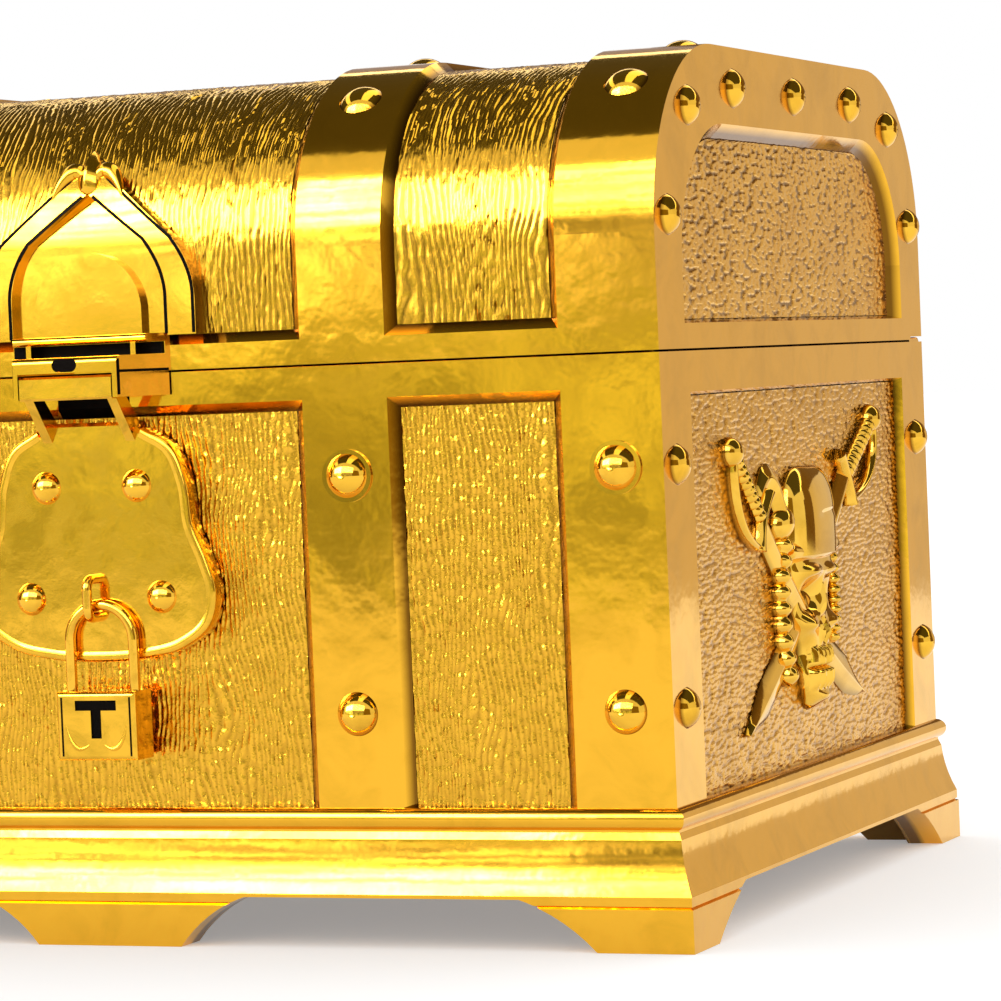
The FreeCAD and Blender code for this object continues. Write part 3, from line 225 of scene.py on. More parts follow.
def piece(name, shells, crease, finish, body, slot, *nodes, groove=None):
    """Puts closed shells of points in mm, quads and larger faces into one mesh. A shell whose volume comes
    out negative has its faces turned round, and edges sharper than the crease in degrees stay sharp. groove
    is the groove share of the first points."""
    points, loops, sizes, first = [], [], [], 0
    for spots, quads, caps in shells:
        a, b, c, d = (spots[quads[:, i]] for i in range(4))
        volume = np.sum(a * np.cross(b, c)) + np.sum(a * np.cross(c, d))
        volume += sum(np.sum(spots[cap[0]] * np.cross(spots[cap[1:-1]], spots[cap[2:]])) for cap in caps)
        turn = 1 if volume > 0.0 else -1
        loops += [first + quads[:, ::turn].reshape(-1)] + [first + cap[::turn] for cap in caps]
        sizes += [np.full(len(quads), 4)] + [np.array([len(cap)]) for cap in caps]
        points.append(spots)
        first += len(spots)
    loops = np.concatenate(loops).astype(np.int32)
    sizes = np.concatenate(sizes)
    mesh = bpy.data.meshes.new(name)
    mesh.vertices.add(first)
    mesh.vertices.foreach_set("co", (np.concatenate(points) / 1000.0).astype(np.float32).reshape(-1))
    mesh.loops.add(len(loops))
    mesh.loops.foreach_set("vertex_index", loops)
    mesh.polygons.add(len(sizes))
    mesh.polygons.foreach_set("loop_start", (np.cumsum(sizes) - sizes).astype(np.int32))
    mesh.polygons.foreach_set("use_smooth", np.ones(len(sizes), bool))
    mesh.update(calc_edges=True)
    mesh.validate()
    mesh.set_sharp_from_angle(angle=np.radians(crease))
    if groove is not None:
        share = np.zeros(first, np.float32)
        share[:groove.size] = groove.reshape(-1)
        mesh.attributes.new("groove", "FLOAT", "POINT").data.foreach_set("value", share)
    mesh.materials.append(finish)
    made = bpy.data.objects.new(name, mesh)
    bpy.context.scene.collection.objects.link(made)
    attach(made, body)
    if nodes:
        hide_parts(*nodes)


def corners(node):
    """Lowest and highest corner of a CAD node in mm."""
    return [np.array(corner) * 1000.0 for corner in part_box(node)]


def steps(start, end, step):
    """Even places from start to end, about a step apart."""
    return np.linspace(start, end, int((end - start) / step))


# Broken ridges that catch the light as dots, with painted shade, brown, in the grooves between them.
grain_gold = plated_gold("plated ABS, dotted grain", colours=("#F0B638", "#DDA630"), rough=(0.14, 0.22),
                         cloud_mm=9.0, wave=(3.0, 0.03), grit=(0.7, 0.1), along=1.3, groove="#7E5210")

for number, part in enumerate(["left", "centre", "right"]):
    for side, turn in (("front", -1), ("back", 1)):
        node = side + "_" + part + "_panel"
        low, high = corners(node)
        across = steps(low[0], high[0], GRAIN_STEP[0])[::-turn]
        along = steps(low[2], high[2], GRAIN_STEP[1])
        x, z = np.meshgrid(across, along)
        rise, groove = wood_grain(x, z, 11 + 7 * number + 40 * (turn + 1), GRAIN_BROKEN)
        face_y, back_y = (low[1], high[1]) if turn < 0 else (high[1], low[1])
        face = np.stack([x, face_y + turn * rise, z], axis=-1)
        back = np.stack([x[:, [0, -1]], np.full((len(along), 2), back_y), z[:, [0, -1]]], axis=-1)
        piece(node + "_grain", [slab(face, back)], PANEL_CREASE, grain_gold, "chest", "gold_grain", node,
              groove=groove)

LID_GRAIN_STEP = (0.36, 0.76)
LID_GRAIN_BROKEN = 0.4
LID_PANEL_THICK = 1.2
ARCH_HALF = 26.2
ARCH_HAUNCH = 141.0
ARCH_BREAK = 154.5
ARCH_MARGIN = 0.8
ARCH_LEVEL = (0.2, 1.2)
UNDER_ARCH = -0.9
lid_low, lid_high = corners("lid_shell")


def over_lid(run, depth, bottom):
    """Points of the lid's section at a depth under its skin, and the outward direction there, at lengths run
    from the front bottom: up the front, round the shoulder, across the top and down the back."""
    radius = LID_TURN - depth
    spring = lid_high[2] - LID_TURN
    upright = spring - bottom
    quarter = radius * np.pi / 2.0
    flat = lid_high[1] - lid_low[1] - 2.0 * LID_TURN
    first = np.clip((run - upright) / radius, 0.0, np.pi / 2.0)
    second = np.clip((run - upright - quarter - flat) / radius, 0.0, np.pi / 2.0)
    level = np.clip(run - upright - quarter, 0.0, flat)
    climb = np.clip(run, 0.0, upright)
    descent = np.clip(run - upright - 2.0 * quarter - flat, 0.0, upright)
    y = lid_low[1] + LID_TURN - radius * np.cos(first) + level + radius * np.sin(second)
    z = bottom + climb + radius * np.sin(first) - radius * (1.0 - np.cos(second)) - descent
    angle = first + second
    return y, z, -np.cos(angle), np.sin(angle)


def arch_half(z):
    """Half width of the latch arch at a height: upright, then a haunch, then a straight rise to the point."""
    return np.interp(z, [0.0, ARCH_HAUNCH, 148.2, ARCH_BREAK, 173.0], [ARCH_HALF, ARCH_HALF, 24.9, 21.2, 0.0],
                     right=-9.0)


# Long ridges that run over the lid, bright against painted shade, nearly black, in the grooves.
lid_grain_gold = plated_gold("plated ABS, lined grain", colours=("#F0B638", "#DDA630"), rough=(0.14, 0.22),
                             cloud_mm=9.0, wave=(3.0, 0.03), grit=(0.6, 0.04), along=2.2, groove="#3C2508")

for number, part in enumerate(["left", "centre", "right"]):
    node = "lid_" + part + "_panel"
    low, high = corners(node)
    depth = low[1] - lid_low[1]
    length = 2.0 * (lid_high[2] - LID_TURN - low[2]) + np.pi * (LID_TURN - depth)
    length += lid_high[1] - lid_low[1] - 2.0 * LID_TURN
    across = steps(low[0], high[0], LID_GRAIN_STEP[0])
    run = steps(0.0, length, LID_GRAIN_STEP[1])
    x, s = np.meshgrid(across, run)
    rise, groove = wood_grain(x, s, 203 + 9 * number, LID_GRAIN_BROKEN)
    y, z, ny, nz = over_lid(s, depth, low[2])
    if part == "centre":
        beside = np.abs(x) - arch_half(z)
        keep = np.where(y < 0.0, np.clip((beside - ARCH_LEVEL[0]) / ARCH_LEVEL[1], 0.0, 1.0), 1.0)
        rise, groove = rise * keep, groove * keep
        rise = np.where((beside < -ARCH_MARGIN) & (y < 0.0), UNDER_ARCH, rise)
    face = np.stack([x, y + ny * rise, z + nz * rise], axis=-1)
    y, z, ny, nz = over_lid(run, depth, low[2])
    inner = np.stack([y - LID_PANEL_THICK * ny, z - LID_PANEL_THICK * nz], axis=-1)
    ends = np.tile(across[[0, -1]], (len(run), 1))[..., None]
    back = np.concatenate([ends, np.tile(inner[:, None, :], (1, 2, 1))], axis=-1)
    piece(node + "_grain", [slab(face, back)], PANEL_CREASE, lid_grain_gold, "lid", "gold_grain", node,
          groove=groove)

# End panels: plated mouldings with a fine pebbled ground drawn out along the end, glued into recesses in
# the ends of the box and the lid. The grains of the lid's panels are painted lighter, and the painted shade
# in the gaps between them is darker.

PEBBLE = 0.95
PEBBLE_DRAWN = 2.8
PEBBLE_HEIGHT = 0.25
PEBBLE_STEP = (0.66, 0.24)
GROUND_WAVE = 0.06
GROUND_WAVE_LONG = 5.0
LID_END_TURN = 27.0
PEBBLE_ROUND = 0.55


def pebbles(u, v, size, seed):
    """Height from 0 to 1 of packed grains: the distance to the nearest of points jittered in square cells,
    turned into a round top on each."""
    table = np.random.default_rng(seed).random((2, 131, 127))
    wide, high = table.shape[1:]
    cu = np.floor(u / size).astype(int)
    cv = np.floor(v / size).astype(int)
    near = np.full(u.shape, 9.0)
    for du in (-1, 0, 1):
        for dv in (-1, 0, 1):
            pu = cu + du + table[0][(cu + du) % wide, (cv + dv) % high]
            pv = cv + dv + table[1][(cu + du) % wide, (cv + dv) % high]
            near = np.minimum(near, (u / size - pu) ** 2 + (v / size - pv) ** 2)
    return np.clip(1.0 - near / PEBBLE_ROUND, 0.0, 1.0)


def pebbled_panel(node, turn, y, z, seeds, finish, body, dark):
    """Plate in place of an end panel, on a grid of y and z: grains on a slowly waving ground that faces along
    x by turn. dark is the most share of painted shade between the grains, and how fast it fades up their
    sides."""
    low, high = corners(node)
    bead = pebbles(y / PEBBLE_DRAWN, z, PEBBLE, seeds[0])
    rise = PEBBLE_HEIGHT * bead + GROUND_WAVE * noise(y / GROUND_WAVE_LONG, z / GROUND_WAVE_LONG, seeds[1])
    face_x, back_x = (high[0], low[0]) if turn > 0 else (low[0], high[0])
    face = np.stack([face_x + turn * rise, y, z], axis=-1)
    back = np.stack([np.full((len(y), 2), back_x), y[:, [0, -1]], z[:, [0, -1]]], axis=-1)
    piece(node + "_pebbled", [slab(face, back)], PANEL_CREASE, finish, body, "gold_pebble", node,
          groove=dark[0] * np.clip(1.0 - dark[1] * bead, 0.0, 1.0))


# Fine grains that scatter the light into a matt, sandy gold, with painted shade in the gaps between them.
# The lid's copy is painted lighter, and its gaps darker.
pebble_gold = plated_gold("plated ABS, pebbled", colours=("#DFA42C", "#CA9224"), rough=(0.14, 0.22),
                          cloud_mm=12.0, wave=(3.0, 0.03), grit=(0.7, 0.08), groove="#845412")
lid_pebble_gold = plated_gold("plated ABS, pebbled, painted lighter", colours=("#F0B644", "#DCA236"),
                              rough=(0.14, 0.22), cloud_mm=12.0, wave=(3.0, 0.03), grit=(0.7, 0.08),
                              groove="#6E430E")

for side, turn in (("right", 1), ("left", -1)):
    node = side + "_end_panel"
    low, high = corners(node)
    across = steps(low[1], high[1], PEBBLE_STEP[0])[::turn]
    y, z = np.meshgrid(across, steps(low[2], high[2], PEBBLE_STEP[1]))
    pebbled_panel(node, turn, y, z, (501 + turn, 77), pebble_gold, "chest", (0.6, 2.2))

    node = "lid_" + side + "_end_panel"
    low, high = corners(node)
    along = steps(low[2], high[2], PEBBLE_STEP[1])
    drop = np.clip(along - (high[2] - LID_END_TURN), 0.0, LID_END_TURN)
    half = 0.5 * (high[1] - low[1])
    reach = half - LID_END_TURN + np.sqrt(np.maximum(LID_END_TURN ** 2 - drop ** 2, 0.0))
    share = np.linspace(-1.0, 1.0, int((high[1] - low[1]) / PEBBLE_STEP[0]))[::turn]
    y = 0.5 * (low[1] + high[1]) + reach[:, None] * share[None, :]
    z = np.tile(along[:, None], (1, len(share)))
    pebbled_panel(node, turn, y, z, (601 + turn, 78), lid_pebble_gold, "lid", (0.85, 1.8))

# Emblems on the ends: a skull in a knotted headscarf over two crossed cutlasses, moulded in high relief
# with a flat back, plated a little brighter than the pebbled panel that it is glued to.

EMBLEM_MIDDLE = (3.8, 73.0)
SKULL = 1.5
RELIEF_CREASE = 35.0
arc_angle = np.linspace(0.0, np.pi, 13)
HALF_ROUND = np.stack([np.cos(arc_angle), np.sin(arc_angle)], axis=-1)
BLADE_RIDGE = np.array([(1.0, 0.0), (1.0, 0.28), (0.12, 1.0), (-0.12, 1.0), (-1.0, 0.28), (-1.0, 0.0)])


def bar(path, half, height, section):
    """Flat-backed bar along a path of (u, v) points: a section of (across, up) shares, scaled at each point
    by the half width and the height there and carried square to the path. Points are (height, u, v)."""
    half, height = (np.broadcast_to(size, len(path))[:, None] for size in (half, height))
    run = np.gradient(path, axis=0)
    run /= np.linalg.norm(run, axis=1)[:, None]
    side = np.stack([-run[:, 1], run[:, 0]], axis=-1)
    spots = path[:, None, :] + side[:, None, :] * (half * section[None, :, 0])[..., None]
    points = np.concatenate([(height * section[None, :, 1])[..., None], spots], axis=-1)
    index = np.arange(len(path) * len(section)).reshape(len(path), len(section))
    after = np.roll(index, -1, axis=1)
    quads = np.stack([index[:-1], after[:-1], after[1:], index[1:]], axis=-1).reshape(-1, 4)
    return points.reshape(-1, 3), quads, [index[0, ::-1], index[-1]]


def laid(shells, place):
    """Shells of (height, u, v) points, moved by a function of the three that gives x, y and z."""
    return [(np.stack(place(*points.T), axis=-1), quads, caps) for points, quads, caps in shells]


def mound(rows, middle, half, height):
    """Flat-backed mound on a grid: rows of v, each spread from -1 to 1 times its half width about the middle,
    with the height at every place. Points are (height, u, v)."""
    share = np.sin(np.linspace(-0.5, 0.5, 61) * np.pi)
    v = np.tile(rows[:, None], (1, len(share)))
    u = middle + half[:, None] * share[None, :]
    face = np.stack([height(u, v, share[None, :]), u, v], axis=-1)
    back = np.stack([np.zeros((len(rows), 2)), u[:, [0, -1]], v[:, [0, -1]]], axis=-1)
    return slab(face, back)


def bend(start, control, end, count):
    """Curve from start to end that leaves and arrives in line with the control point."""
    t = np.linspace(0.0, 1.0, count)[:, None]
    return (1.0 - t) ** 2 * np.array(start) + 2.0 * t * (1.0 - t) * np.array(control) + t ** 2 * np.array(end)


def scarf_height(u, v, share):
    """Cap over the flat band: a little crowned in the middle, steep at the outline, with one soft pleat."""
    far = (np.abs(u - SKULL) / 15.6) ** 4 + (np.abs(v - 4.5) / 20.6) ** 4
    crown = 1.0 - 0.13 * ((u - SKULL + 2.0) / 14.0) ** 2 - 0.08 * ((v - 10.0) / 16.0) ** 2
    dome = 5.9 * np.sqrt(np.clip(1.0 - far, 0.0, 1.0)) * np.clip(crown, 0.0, 1.0)
    pleat = np.exp(-((v - 13.5 - 0.05 * u) / 0.8) ** 2) * np.clip((u - SKULL + 5.0) / 4.0, 0.0, 1.0)
    return np.maximum(dome - 0.3 * pleat, 0.0)


def bump(u, v, at, wide, high):
    """Round bump of height 1 at a place, with a width and a height."""
    return np.exp(-((u - at[0]) / wide) ** 2 - ((v - at[1]) / high) ** 2)


def face_height(u, v, share):
    """Skull from brow to jaw: a rounded mask, less round pits for the eyes and the nose, plus round bumps for
    brows and cheekbones, and two rows of teeth from a cosine."""
    mask = 4.0 * np.sqrt(np.clip(1.0 - np.abs(share) ** 4, 0.0, 1.0))
    mask = mask * np.clip((v + 31.5) / 4.0, 0.0, 1.0) ** 0.5
    for hand in (-1.0, 1.0):
        at = SKULL + hand * 6.0
        mask = mask + 1.9 * bump(u, v, (at, 0.6), 5.0, 1.5)
        mask = mask + 1.9 * bump(u, v, (at + 2.2 * hand, -11.4), 3.2, 1.7)
        mask = mask - 3.9 * bump(u, v, (at, -5.2), 3.3, 2.8) ** 0.7
        mask = mask - 2.6 * bump(u, v, (at + 3.6 * hand, -17.6), 2.6, 3.0)
        mask = mask + 1.6 * bump(u, v, (SKULL + 1.9 * hand, -13.4), 0.8, 2.2)
        mask = mask + 1.5 * bump(u, v, (at + 2.8 * hand, -24.6), 1.4, 3.0)
    mask = mask + 1.8 * bump(u, v, (SKULL, -6.0), 1.3, 4.2) - 3.2 * bump(u, v, (SKULL, -12.6), 1.2, 2.3)
    mask = mask + 1.3 * bump(u, v, (SKULL, -28.6), 3.6, 1.3)
    row = np.clip(1.0 - ((v + 21.6) / 5.0) ** 6, 0.0, 1.0)
    row = row * np.clip(1.0 - (np.abs(u - SKULL) / 7.4) ** 8, 0.0, 1.0)
    tooth = np.abs(np.cos(np.pi * (u - SKULL) / 2.7)) ** 0.5
    tooth = tooth * np.clip(np.abs(v + 21.6) / 0.9, 0.0, 1.0) ** 0.5
    return np.clip(mask - row * (1.9 - 3.2 * tooth), 0.0, 5.9)


def ball_round(count):
    """Places from -1 to 1 and the half width of a ball there, never quite nothing."""
    t = np.linspace(-1.0, 1.0, count)
    return t, np.sqrt(np.clip(1.0 - t ** 2, 0.0004, 1.0))


def cutlass(pommel, hilt, tip, bow, loop):
    """Curved blade with a ridge, wider towards its point, a cross guard, a ribbed grip and a knuckle bow."""
    pommel, hilt, tip, loop = (np.array(spot) for spot in (pommel, hilt, tip, loop))
    along = (tip - hilt) / np.linalg.norm(tip - hilt)
    side = np.array([-along[1], along[0]])
    t = np.linspace(0.0, 1.0, 64)
    width = (3.6 + 1.2 * t) * np.clip((1.0 - t) / 0.16, 0.012, 1.0) ** 0.7
    blade = bar(bend(hilt, 0.5 * (hilt + tip) + 2.0 * bow * side, tip, 64), width, 2.5 - 0.9 * t, BLADE_RIDGE)
    s = np.linspace(-1.0, 1.0, 33)
    guard_path = hilt + s[:, None] * 7.4 * side + (s[:, None] ** 2) * 1.2 * along
    guard = bar(guard_path, 1.5 + 0.9 * np.abs(s) ** 6 * np.clip((1.02 - np.abs(s)) / 0.1, 0.05, 1.0),
                3.1 + 0.4 * s ** 2, HALF_ROUND)
    rib = np.abs(np.sin(np.pi * np.linspace(0.0, np.linalg.norm(hilt - pommel), 81) / 2.3))
    grip = bar(bend(pommel, 0.5 * (pommel + hilt), hilt, 81), 1.6 + 0.6 * rib, 2.4 + 0.8 * rib, HALF_ROUND)
    bow_end = hilt + 7.0 * side * np.sign(np.dot(side, loop - hilt))
    knuckle = bar(bend(pommel, loop, bow_end, 33), 1.1, 2.6, HALF_ROUND)
    ball, ball_half = ball_round(25)
    knob = bar(pommel - ball[:, None] * 3.7 * along, 3.5 * ball_half, 3.9 * ball_half, HALF_ROUND)
    return [blade, guard, grip, knuckle, knob]


def scarf_tail(start, control, end):
    """Flat cloth end that widens from the knot and narrows to its tip, with a raised middle."""
    t = np.linspace(0.0, 1.0, 33)
    width = 1.4 + 2.6 * np.sin(np.pi * t ** 0.8) - 0.9 * t
    return bar(bend(start, control, end, 33), width, 3.4 - 1.6 * t, BLADE_RIDGE)


def braid(start, control, end, slim, tall):
    """Hanging braid of nine beads: a thin cord and its added width, and a low one and its added height."""
    rib = np.abs(np.sin(9.0 * np.pi * np.linspace(0.0, 1.0, 97)))
    return bar(bend(start, control, end, 97), slim[0] + slim[1] * rib, tall[0] + tall[1] * rib, HALF_ROUND)


# Polished relief: the brightest skin on the ends, with painted shade, dark brown, in its hollows and around
# its foot.
relief_gold = plated_gold("plated ABS, polished relief", colours=("#F3C04A", "#DCA834"), rough=(0.06, 0.11),
                          cloud_mm=14.0, wave=(8.0, 0.03), grit=(1.2, 0.003), shade=("#4E2C08", -0.9, -2.1))
face_rows = np.linspace(-31.4, 7.0, 110)
face_half = np.interp(face_rows, [-31.4, -30.0, -26.0, -20.0, -16.0, -10.0, -4.0, 7.0],
                      [3.4, 5.8, 7.6, 8.2, 9.0, 12.2, 12.8, 13.4])
scarf_rows = 4.5 + 20.2 * np.sin(np.linspace(0.0, 0.5, 64) * np.pi)
scarf_half = 15.6 * np.clip(1.0 - ((scarf_rows - 4.5) / 20.4) ** 4, 0.0, 1.0) ** 0.25
band_t = np.linspace(-1.0, 1.0, 49)
band_path = np.stack([SKULL + 17.4 * band_t, 4.8 + 1.1 * band_t ** 2], axis=-1)
band_half = 2.7 * np.clip((1.03 - np.abs(band_t)) / 0.06, 0.3, 1.0)
knot_t, knot_half = ball_round(25)
knot_path = np.stack([-19.0 + 4.6 * knot_t, 12.5 + 2.0 * knot_t], axis=-1)
emblem = cutlass((-50.5, 29.5), (-33.0, 14.0), (40.5, -31.0), -4.0, (-52.5, 12.5))
emblem += cutlass((54.0, 34.0), (31.0, 21.0), (-46.0, -33.0), 4.0, (58.0, 19.0))
emblem += [mound(face_rows, SKULL, face_half, face_height),
           mound(scarf_rows, SKULL, scarf_half, scarf_height),
           bar(band_path, band_half, 5.0 - 1.6 * band_t ** 2, HALF_ROUND),
           bar(knot_path, 4.2 * knot_half, 4.6 * knot_half, HALF_ROUND),
           scarf_tail((-19.5, 14.0), (-25.0, 29.0), (-33.0, 19.0)),
           braid((-17.5, 9.0), (-25.0, -6.0), (-17.0, -24.0), (1.5, 1.1), (2.6, 1.4)),
           braid((17.0, 4.0), (21.0, -8.0), (16.5, -17.0), (1.0, 0.8), (2.0, 1.2))]
for side, turn in (("right", 1.0), ("left", -1.0)):
    node = side + "_end_emblem"
    low, high = corners(node)
    seat = low[0] if turn > 0 else high[0]
    shells = laid(emblem, lambda up, u, v: (seat + turn * up, EMBLEM_MIDDLE[0] + turn * u,
                                            EMBLEM_MIDDLE[1] + v))
    piece(node + "_relief", shells, RELIEF_CREASE, relief_gold, "chest", "gold_plating", node)

# Studs: round-headed plastic nails with a plated skin, pushed into holes in the straps. Their heads are the
# smoothest faces on the chest, so they show the whole room, and painted shade, brown, rings their feet.

stud_gold = plated_gold("plated ABS, stud heads", colours=("#F2BB3C", "#DDA630"), rough=(0.06, 0.12),
                        cloud_mm=8.0, wave=(6.0, 0.01), grit=(1.0, 0.002), shade=("#7A4A12", 0.7, 0.0))
dress(stud_gold, "front_strap_studs", "back_strap_studs", "end_strap_studs", "lid_strap_studs",
      "lid_end_studs")

# Rim of the box: a low half-round bead moulded along its edge, taller at the back where the lid stands
# higher. It keeps light from showing through the seam.

RIM_Z = lid_low[2] - 0.5
RIM_X = 129.2
RIM_BACK_X = 130.8
RIM_Y = (lid_low[1] + 2.8, 92.0, lid_high[1] - 1.4)
RIM_HALF = 0.8
RIM_TALL = (0.42, 1.15)
ROUND_CREASE = 40.0
low_path = np.array([(RIM_X, RIM_Y[1]), (RIM_X, RIM_Y[0]), (-RIM_X, RIM_Y[0]), (-RIM_X, RIM_Y[1])])
high_path = np.array([(RIM_BACK_X, RIM_Y[1]), (RIM_BACK_X, RIM_Y[2]), (-RIM_BACK_X, RIM_Y[2]),
                      (-RIM_BACK_X, RIM_Y[1])])
beads = []
for path, tall in zip((low_path, high_path), RIM_TALL):
    for start, end in zip(path[:-1], path[1:]):
        run = np.linspace(0.0, 1.0, 9)[:, None]
        beads.append(bar(start + run * (end - start), RIM_HALF, tall, HALF_ROUND))
# The bead takes the straps' painted shade, so it is painted dark brown where it shows in the seam.
piece("chest_rim_bead", laid(beads, lambda up, x, y: (x, y, RIM_Z + up)), ROUND_CREASE, strap_gold, "chest",
      "gold_plating")

# Rear hinges: stamped brass leaves riveted to the box and the lid, turning on drawn steel pins. The brass is
# satin and a little browned, and the pins are grey.

hinge_brass = plated_gold("stamped brass", colours=("#D9AE4E", "#B98A34"), rough=(0.2, 0.34), cloud_mm=5.0,
                          wave=(6.0, 0.02), grit=(0.5, 0.006))
pin_steel = plated_gold("drawn steel wire", colours=("#C4C2BD", "#9C9A96"), rough=(0.22, 0.34), cloud_mm=3.0,
                        wave=(4.0, 0.01), grit=(0.4, 0.004))
dress(hinge_brass, "hinge_box_leaves", "hinge_lid_leaves", "hinge_box_rivets", "hinge_lid_rivets")
dress(pin_steel, "hinge_pins")

# Latch on the lid: a pointed arch with a raised tongue and the lug that carries the hasp, plated mouldings
# glued to the lid. A small lily with a ridged bud covers the point of the arch, black strips of painted shade
# run along the edges of its band, and black painted shade fills the lug's oval hole.

ARCH_FOOT = 133.3
ARCH_OUT = 1.2
LILY_SINK = 0.4
LINE_SINK = 0.3
LINE_HALF = 0.38
LINE_TALL = 0.36
LINE_FOOT = 133.6
HAUNCH_LEAN = 0.036
HAUNCH_CURVE = 0.0301
SHARP_CREASE = 30.0
ARCH_SPRING = lid_high[2] - LID_TURN
STRIP = np.array([(1.0, 0.0), (1.0, 1.0), (-1.0, 1.0), (-1.0, 0.0)])

# A smooth mirror, less clouded than the straps.
latch_gold = plated_gold("plated ABS, latch", colours=("#F0B636", "#D2A02A"), rough=(0.08, 0.17),
                         cloud_mm=11.0, wave=(14.0, 0.04), grit=(1.6, 0.006))
dress(latch_gold, "latch_lug")

# Thinner plating on drawn steel, so the pin is duller than the lug.
pin_gold = plated_gold("plated steel pin", colours=("#EDB23A", "#CC9A2C"), rough=(0.14, 0.24), cloud_mm=3.0,
                       wave=(4.0, 0.01), grit=(0.4, 0.004))
dress(pin_gold, "hasp_pin")

# The same skin, with painted shade, dark brown, on the walls that face outwards to the left and the right.
arch_gold = plated_gold("plated ABS, arch with painted shade on its edges", colours=("#F0B636", "#D2A02A"),
                        rough=(0.08, 0.17), cloud_mm=11.0, wave=(14.0, 0.04), grit=(1.6, 0.006))
tree = arch_gold.node_tree
shader = tree.nodes["Principled BSDF"]
place = add(tree, "ShaderNodeTexCoord", {}, {})
facing = add(tree, "ShaderNodeSeparateXYZ", {}, {"Vector": place.outputs["Normal"]})
across = add(tree, "ShaderNodeSeparateXYZ", {}, {"Vector": place.outputs["Object"]})
hand = add(tree, "ShaderNodeMath", {}, {0: across.outputs["X"]}, operation="SIGN")
outward = add(tree, "ShaderNodeMath", {}, {0: facing.outputs["X"], 1: hand.outputs[0]}, operation="MULTIPLY")
edge = add(tree, "ShaderNodeMapRange", {"From Min": 0.15, "From Max": 0.4, "To Max": 0.85},
           {"Value": outward.outputs[0]})
tint = add(tree, "ShaderNodeMix", {"B": linear("#4A2C0A")}, {"Factor": edge.outputs["Result"],
           "A": shader.inputs["Base Color"].links[0].from_socket}, data_type="RGBA")
tree.links.new(tint.outputs["Result"], shader.inputs["Base Color"])
dress(arch_gold, "latch_arch")


def on_arch(height, x, run):
    """Places at a height over the skin of the arch, run being the length up the lid."""
    y, z, ny, nz = over_lid(run, 0.0, ARCH_FOOT)
    lift = ARCH_OUT - LILY_SINK + height
    return x, y + ny * lift, z + nz * lift


def on_band(height, x, z):
    """Places at a height over the raised band of the arch: upright below the shoulder line, and on a circle
    about it above."""
    radius = LID_TURN + ARCH_OUT - LINE_SINK + height
    over = np.clip(z - ARCH_SPRING, 0.0, None)
    return x, lid_low[1] + LID_TURN - np.sqrt(radius ** 2 - over ** 2), z


def plate(outline, front, thick):
    """Flat plate from an outline of (x, z) points, with its front at a y and a thickness behind it."""
    count = len(outline)
    spots = [np.insert(outline, 1, y, axis=1) for y in (front, front + thick)]
    index = np.arange(count)
    after = np.roll(index, -1)
    quads = np.stack([index, after, after + count, index + count], axis=-1)
    return np.concatenate(spots), quads, [index[::-1], index + count]


leaf_t = np.linspace(0.0, 1.0, 33)
leaf_swell = np.sin(np.pi * leaf_t)
bud_half = 0.3 + 2.3 * np.sin(np.pi * leaf_t ** 0.7) ** 0.8
bud_path = np.stack([np.zeros(33), 31.2 + 10.6 * leaf_t], axis=-1)
lily = [bar(bud_path, bud_half, 0.6 + 2.3 * leaf_swell ** 0.7, BLADE_RIDGE)]
for hand in (-1.0, 1.0):
    leaf = bend((0.8 * hand, 34.4), (4.4 * hand, 41.0), (8.6 * hand, 30.6), 33)
    leaf_half = 0.3 + 1.7 * np.sin(np.pi * leaf_t ** 0.9)
    lily.append(bar(leaf, leaf_half, 0.5 + 1.5 * leaf_swell ** 0.7, HALF_ROUND))
piece("latch_arch_lily", laid(lily, on_arch), ROUND_CREASE, latch_gold, "lid", "gold_plating")

# Painted shade: a dull black that hardly mirrors anything, put in holes, slots and lines where shade falls.
painted_shade_black = plated_gold("black painted shade in holes and lines", colours=("#0E0906", "#060504"), rough=(0.35, 0.5),
                            cloud_mm=3.0, wave=(3.0, 0.01), grit=(0.5, 0.003))
shade_black_shader = painted_shade_black.node_tree.nodes["Principled BSDF"]
shade_black_shader.inputs["Metallic"].default_value = 0.0
shade_black_shader.inputs["Specular IOR Level"].default_value = 0.02
# Black strips of painted shade along both edges of the arch's band, where its walls fall away.
lines = []
# For each edge of the band: half width at its foot, height of its point, and the shift onto the band.
for half, apex, inside in ((ARCH_HALF, 172.4, -0.5), (18.6, 165.0, 0.5)):
    z = np.concatenate([np.linspace(LINE_FOOT, ARCH_BREAK, 40),
                        np.linspace(ARCH_BREAK + 0.5, apex - 0.6, 30)])
    haunch = np.clip(z - ARCH_HAUNCH, 0.0, ARCH_BREAK - ARCH_HAUNCH)
    rise = np.clip((z - ARCH_BREAK) / (apex - ARCH_BREAK), 0.0, 1.0)
    x = (half + HAUNCH_LEAN * haunch - HAUNCH_CURVE * haunch ** 2) * (1.0 - rise) + inside
    for hand in (-1.0, 1.0):
        lines.append(bar(np.stack([hand * x, z], axis=-1), LINE_HALF, LINE_TALL, STRIP))
piece("latch_arch_lines", laid(lines, on_band), SHARP_CREASE, painted_shade_black, "lid", "gold_plating")

